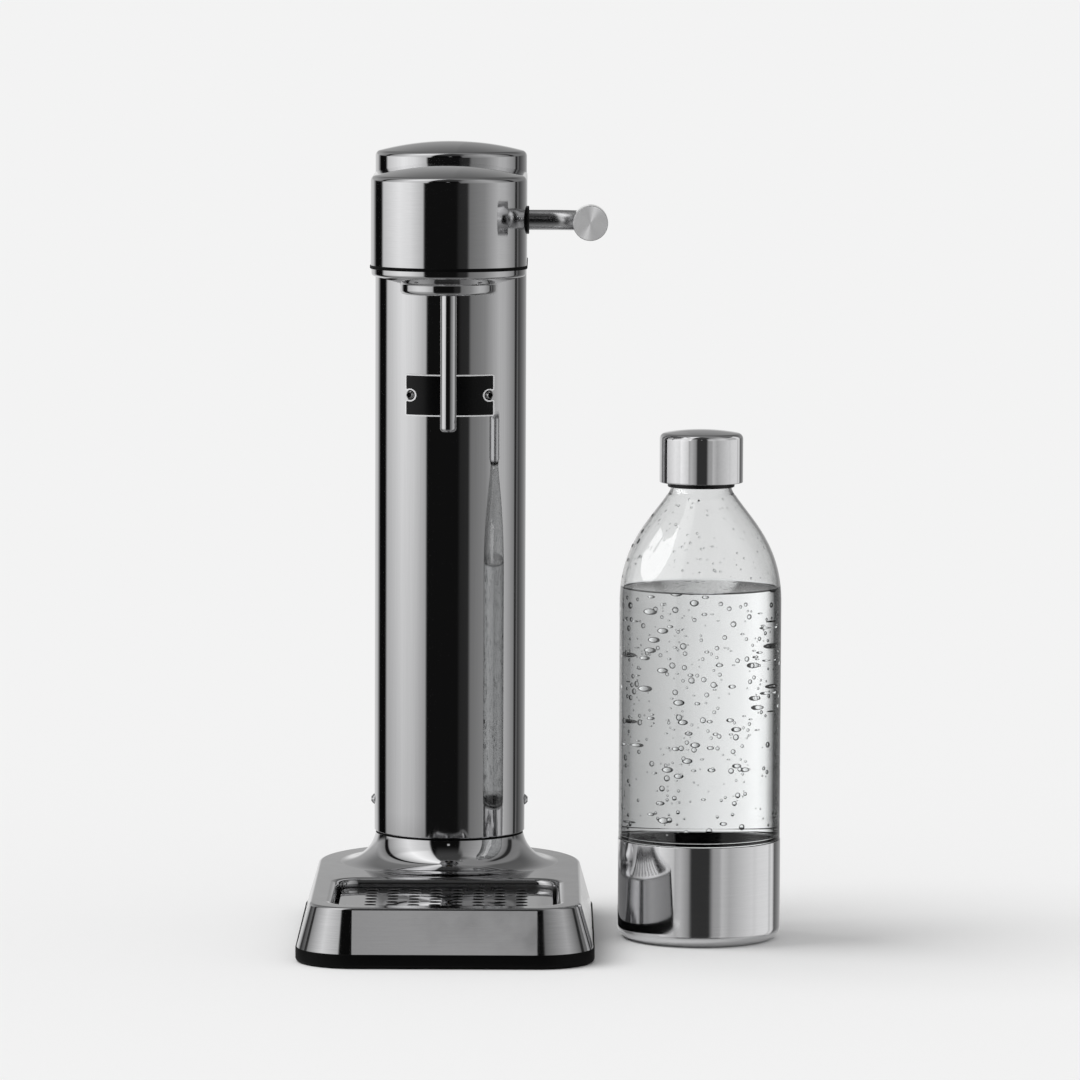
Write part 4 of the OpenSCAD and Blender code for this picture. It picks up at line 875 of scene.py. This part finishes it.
# ---------------------------------------------------------------- cap
cap_outer = dome(CAP_R, CAP_FOOT + 1, BOTTLE_TOP, CAP_DOME_R, CAP_EDGE)
cap_inner = dome(CAP_R - CAP_WALL, CAP_FOOT + 1, BOTTLE_TOP - CAP_WALL, CAP_DOME_R - CAP_WALL, CAP_EDGE - CAP_WALL)
cap_rim = rounded((CAP_R - CAP_WALL, CAP_FOOT + 1), (CAP_R - CAP_WALL, CAP_FOOT, 0.2), (CAP_R, CAP_FOOT, 0.5),
                  (CAP_R, CAP_FOOT + 1))
cap_side = np.concatenate([cap_rim, cap_outer[1:], cap_inner[:0:-1]])
cap = piece("cap_shell", [revolve(cap_side, BOTTLE_AT, steps=192, wrap=True)], "bottle_closure",
            cap_steel, ["bottle_cap"])
liner_side = rounded((16.2, 236.7), (17.4, 236.7, 0.5), (17.4, 239.05), (20.9, 239.05, 0.2), (20.9, 262.5, 1),
                     (16.2, 264.1), closed=True)
piece("cap_liner", [revolve(liner_side, BOTTLE_AT, wrap=True)], "bottle_closure", black_plastic,
      ["cap_insert"])

# ---------------------------------------------------------------- gas cylinder
tank_side = np.concatenate([[[0, 14], [14, 10.6]], arc(22, 18, 8, 270, 360, 10),
                            [[13 + 17 * math.cos(a), 300 + 34 * math.sin(a)] for a in np.linspace(0, math.pi / 2, 24)],
                            [[0, 334]]])
piece("gas_tank", [revolve(tank_side, (0, COLUMN_Y, 0))], "gas_bottle", grey_paint, ["gas_cylinder"])
thread = [(10.5 - 0.7 * (k % 2), 343 + k * 0.9) for k in range(18)]
valve_side = [(0, 334), (12, 334), (12, 340.5), (11.5, 341), (9.6, 341), (9.6, 342.5)] + thread + [
    (9.5, 360), (8.5, 361.3), (3.2, 361.3), (3.2, 355.5), (0, 355.5)]
piece("gas_valve", [revolve(valve_side, (0, COLUMN_Y, 0), steps=96)], "gas_bottle", brass,
      ["cylinder_valve"])

# ---------------------------------------------------------------- CAD nodes that stay
STAYS = {
    "base_plate": satin_steel, "grille_legs": band_rubber, "column_sleeve": satin_steel,
    "cylinder_guides": black_plastic, "valve_carrier": satin_steel, "valve_block": black_plastic,
    "valve_pin": satin_steel, "gas_pipe": brass, "nozzle_block": black_plastic, "nozzle_nut": brass,
    "safety_valve": brass, "head_frame": satin_steel, "collar_seal": band_rubber, "lever_cam": brass,
    "lever_clip": satin_steel, "lever_spring": satin_steel, "rocker": brass, "rocker_pin": satin_steel,
    "cap_seal": silicone,
}
for name, finish in STAYS.items():
    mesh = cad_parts[name].data
    mesh.materials.clear()
    mesh.materials.append(finish)


# ---------------------------------------------------------------- studio
def linear(grey):
    """The light of a grey of 0 to 255 on a screen."""
    return ((grey / 255 + 0.055) / 1.055) ** 2.4


STEEL_SHARE = 0.62
# Panels and gaps round the set, as (azimuth from the camera, brightness as seen in steel), level with
# the set: a wide panel on the left, a dark gap round the camera, a dimmer panel on the right with a
# strip behind it, and a wall behind the set
LOW_PANELS = [(-180, 190), (-148, 175), (-136, 10), (-117, 10), (-112, 170), (-78, 205), (-58, 195), (-38, 160),
              (-35, 15), (12, 15), (16, 35), (28, 40), (32, 105), (55, 125), (80, 170), (92, 165), (115, 120),
              (117, 35), (121, 40), (124, 100), (128, 55), (153, 120), (180, 170)]
# The same above the set
HIGH_PANELS = [(-180, 130), (-141, 150), (-119, 110), (-117, 15), (-111, 15), (-108, 130), (-68, 205), (-32, 170),
               (-29, 10), (16, 10), (19, 100), (71, 160), (103, 100), (106, 35), (113, 35), (116, 105), (180, 125)]
# The same, as it looks straight through the bottle
BEHIND = [(-180, 242), (-156, 270), (-149, 255), (-137, 45), (-131, 15), (-114, 15), (-110, 215), (-60, 235),
          (15, 215), (77, 235), (110, 180), (117, 60), (129, 130), (160, 190), (180, 242)]
# The share of the panels' light that is left to a ray that passes both glass and a mirror
MIRRORED_THROUGH = 0.72
# Where the card that only the flat front of the base mirrors fades in and out: round the set, of a
# turn that starts behind it, and upward in degrees
CARD_TURN, CARD_RISE = (0.4917, 0.4939, 0.5025, 0.5044), (19.5, 21.5, 25.5, 27.5)
CARD_GREY, OVER_FRONT, OVER_SIDES, UNDER, SKY_GREY = 149, 54, 113, 105, 241
DIFFUSE_LEVEL = 0.6
# A curved screen that lights only the bottle's cup and cap, as (azimuth, light)
SCREEN = [(-180, 0), (-62, 0), (-60, 0.2), (-38, 0.2), (-34, 0.5), (-28, 0.55), (-16, 0.3), (-12, 0.03), (13, 0.03),
          (19, 0.35), (30, 0.4), (43, 0.2), (55, 0.25), (84, 0.1), (120, 0.65), (128, 0.65), (133, 0), (180, 0)]
SCREEN_R, SCREEN_FOOT, SCREEN_H, FLOOR_HALF = 6.0, -3.0, 8.0, 150.0
# Mirrors and glass see the floor only this near to the set, in metres
FLOOR_SEEN = 0.012
CAMERA_AT, CAMERA_PITCH, CAMERA_ROLL, CAMERA_LENS = (0.0477, -3.4212, 0.5181), 5.194, 0.004, 218.8


def between(tree, value, a, b, c, d):
    """1 from b to c, fading to 0 at a and at d."""
    return calc(tree, "SUBTRACT", fade(tree, value, a, b), fade(tree, value, c, d))


def times(tree, a, b):
    """a times b."""
    return calc(tree, "MULTIPLY", a, b)


def turn_of(tree, x, y):
    """The azimuth of (x, y), as 0 to 1 for a turn that starts behind the set."""
    return calc(tree, "ADD", calc(tree, "DIVIDE", calc(tree, "ARCTAN2", x, times(tree, y, -1.0)), TURN), 0.5)


def level_round(tree, turn, stops):
    """A level that goes straight from stop to stop, as (azimuth, level), round the set."""
    made = node(tree, "ShaderNodeValToRGB")
    feed(tree, made.inputs[0], turn)
    placed = made.color_ramp.elements
    for i, (azimuth, level) in enumerate([stops[0], stops[-1], *stops[1:-1]]):
        stop = placed[i] if i < 2 else placed.new((azimuth + 180) / 360)
        stop.color = (level, level, level, 1)
    return made.outputs[0]


def ramp(tree, turn, panels, share=STEEL_SHARE):
    """The light round the set that looks as bright as the panels' list in a mirror of that share."""
    halves = [(azimuth, linear(grey) / share / 2) for azimuth, grey in panels]
    return times(tree, level_round(tree, turn, halves), 2.0)


world = bpy.data.worlds.new("studio")
bpy.context.scene.world = world
world.use_nodes = True
world.cycles.sampling_method = "NONE"
tree = world.node_tree
tree.nodes.clear()
x, y, z = axes(tree, node(tree, "ShaderNodeTexCoord").outputs["Generated"])
turn = turn_of(tree, x, y)
rise = times(tree, calc(tree, "ARCSINE", z), 360 / TURN)
from_front = calc(tree, "ABSOLUTE", calc(tree, "SUBTRACT", turn, 0.5))
left = between(tree, turn, 0.14, 0.17, 0.39, 0.42)
low = times(tree, ramp(tree, turn, LOW_PANELS),
            mix(tree, left, 1.0, fade(tree, rise, -10, -1.5, 0.6, 1.28, smooth=False)))
high = times(tree, ramp(tree, turn, HIGH_PANELS),
             mix(tree, fade(tree, from_front, 0.36, 0.39), 1.0, fade(tree, rise, 10, 36, 1.0, 0.43)))
card = times(tree, between(tree, turn, *CARD_TURN), between(tree, rise, *CARD_RISE))
high = mix(tree, card, high, linear(CARD_GREY) / STEEL_SHARE)
round_set = mix(tree, fade(tree, rise, 2, 10), low, high)
# The light overhead starts higher on the left, and higher and more softly at the sides
start = calc(tree, "ADD", times(tree, left, 26.0), fade(tree, from_front, 0.05, 0.09, 26.0, 56.0))
overhead = fade(tree, rise, start, calc(tree, "ADD", start, fade(tree, from_front, 0.05, 0.09, 34.0, 12.0)))
lift = calc(tree, "ADD", times(tree, times(tree, left, fade(tree, rise, 38, 46)), 0.3), 1.0)
round_set = mix(tree, overhead, times(tree, round_set, lift),
                fade(tree, from_front, 0.06, 0.16, linear(OVER_FRONT) / STEEL_SHARE, linear(OVER_SIDES) / STEEL_SHARE))
round_set = mix(tree, fade(tree, rise, -12, -75), round_set, linear(UNDER) / STEEL_SHARE)
paths = node(tree, "ShaderNodeLightPath").outputs
straight = fade(tree, paths["Glossy Depth"], 0.4, 0.6, 1.0, 0.0)
past_glass = fade(tree, paths["Transmission Depth"], 0.4, 0.6)
round_set = mix(tree, past_glass, round_set, times(tree, round_set, MIRRORED_THROUGH))
seen = mix(tree, times(tree, past_glass, straight), round_set, ramp(tree, turn, BEHIND, 1.0))
seen = mix(tree, paths["Is Diffuse Ray"], seen, DIFFUSE_LEVEL)
seen = mix(tree, paths["Is Camera Ray"], seen, linear(SKY_GREY))
glow = node(tree, "ShaderNodeBackground")
glow.inputs["Color"].default_value = (1, 1, 1, 1)
feed(tree, glow.inputs["Strength"], seen)
feed(tree, node(tree, "ShaderNodeOutputWorld").inputs["Surface"], glow.outputs[0])


def set_up(name, points, faces, material):
    """An object of the set round the machine."""
    mesh = bpy.data.meshes.new(name)
    mesh.from_pydata(points, [], faces)
    mesh.materials.append(material)
    obj = bpy.data.objects.new(name, mesh)
    bpy.context.scene.collection.objects.link(obj)
    return obj


def beyond(tree, offset, middle, half):
    """How far a coordinate lies outside the range from middle - half to middle + half."""
    away = calc(tree, "ABSOLUTE", calc(tree, "SUBTRACT", offset, middle))
    return calc(tree, "MAXIMUM", calc(tree, "SUBTRACT", away, half), 0.0)


def hypot(tree, a, b):
    """The square root of a squared plus b squared."""
    return calc(tree, "SQRT", calc(tree, "ADD", times(tree, a, a), times(tree, b, b)))


sheet = bpy.data.materials.new("pale sheet")
sheet.use_nodes = True
tree = sheet.node_tree
shader = tree.nodes["Principled BSDF"]
shader.inputs["Base Color"].default_value = (0.9, 0.9, 0.9, 1)
shader.inputs["Roughness"].default_value = 1.0
shader.inputs["Specular IOR Level"].default_value = 0.0
x, y, z = axes(tree, own_place(tree))
from_machine = hypot(tree, beyond(tree, x, 0.0, BASE_HALF_W * MM), beyond(tree, y, 0.0, BASE_HALF_D * MM))
from_bottle = hypot(tree, beyond(tree, x, BOTTLE_X * MM, 0.0), beyond(tree, y, BOTTLE_Y * MM, 0.0))
nearest = calc(tree, "MINIMUM", from_machine, calc(tree, "SUBTRACT", from_bottle, CUP_R * MM))
paths = node(tree, "ShaderNodeLightPath").outputs
mirrored = calc(tree, "ADD", paths["Glossy Depth"], paths["Transmission Depth"], clamp=True)
blended = node(tree, "ShaderNodeMixShader")
feed(tree, blended.inputs[0], times(tree, mirrored, fade(tree, nearest, 0.0, FLOOR_SEEN)))
feed(tree, blended.inputs[1], shader.outputs[0])
feed(tree, blended.inputs[2], node(tree, "ShaderNodeBsdfTransparent").outputs[0])
feed(tree, tree.nodes["Material Output"].inputs["Surface"], blended.outputs[0])
corners = [(-FLOOR_HALF, -FLOOR_HALF, 0), (FLOOR_HALF, -FLOOR_HALF, 0), (FLOOR_HALF, FLOOR_HALF, 0),
           (-FLOOR_HALF, FLOOR_HALF, 0)]
floor = set_up("floor", corners, [(0, 1, 2, 3)], sheet)

glowing = bpy.data.materials.new("lit screen")
glowing.use_nodes = True
tree = glowing.node_tree
tree.nodes.clear()
x, y, z = axes(tree, own_place(tree))
turn = turn_of(tree, calc(tree, "SUBTRACT", x, BOTTLE_X * MM), calc(tree, "SUBTRACT", y, BOTTLE_Y * MM))
shine = node(tree, "ShaderNodeEmission")
feed(tree, shine.inputs["Color"], level_round(tree, turn, SCREEN))
both = node(tree, "ShaderNodeAddShader")
feed(tree, both.inputs[0], shine.outputs[0])
feed(tree, both.inputs[1], node(tree, "ShaderNodeBsdfTransparent").outputs[0])
feed(tree, node(tree, "ShaderNodeOutputMaterial").inputs["Surface"], both.outputs[0])
a = np.radians(np.linspace(-66, 140, 104))
foot = np.stack([BOTTLE_X * MM + SCREEN_R * np.sin(a), BOTTLE_Y * MM - SCREEN_R * np.cos(a),
                 np.full(len(a), SCREEN_FOOT)], 1)
spots, cells = patch(np.stack([foot, foot + [0, 0, SCREEN_H]]))
screen = set_up("bottle screen", spots.tolist(), cells.tolist(), glowing)
screen.visible_camera = screen.visible_diffuse = screen.visible_transmission = screen.visible_shadow = False


def light_only(lamp, name, objects):
    """Links a lamp's light to the objects alone."""
    lit = bpy.data.collections.new(name)
    for item in objects:
        lit.objects.link(item)
    lamp.light_linking.receiver_collection = lit


light_only(screen, "bottle steel", [cup, cap])


def window(name, strength, spread, toward, seen_in=()):
    """A distant window in one direction: it lights all, or only mirrors itself in the objects given."""
    lamp = bpy.data.lights.new(name, "SUN")
    lamp.energy = strength
    lamp.angle = math.radians(spread)
    obj = bpy.data.objects.new(name, lamp)
    obj.matrix_world = Vector(toward).to_track_quat("Z", "Y").to_matrix().to_4x4()
    obj.visible_camera = obj.visible_transmission = False
    obj.visible_diffuse, obj.visible_glossy = not seen_in, bool(seen_in)
    bpy.context.scene.collection.objects.link(obj)
    if seen_in:
        light_only(obj, name, seen_in)


window("left window", 1.46, 34, (-0.52, 0.03, 0.85))
window("knob window", 0.9, 8, (0.22, -0.77, 0.6), seen_in=[knob])
window("bottle window", 2.2, 50, (-0.83, 0.0, 0.56), seen_in=[clear_body])

lens = bpy.data.cameras.new("camera")
lens.lens = CAMERA_LENS
lens.sensor_width = 36
lens.clip_end = 400
camera = bpy.data.objects.new("camera", lens)
tilt = Matrix.Rotation(math.radians(90 - CAMERA_PITCH), 4, "X") @ Matrix.Rotation(CAMERA_ROLL, 4, "Z")
camera.matrix_world = Matrix.Translation(CAMERA_AT) @ tilt
bpy.context.scene.collection.objects.link(camera)
bpy.context.scene.camera = camera
bpy.context.scene.view_settings.view_transform = "Standard"
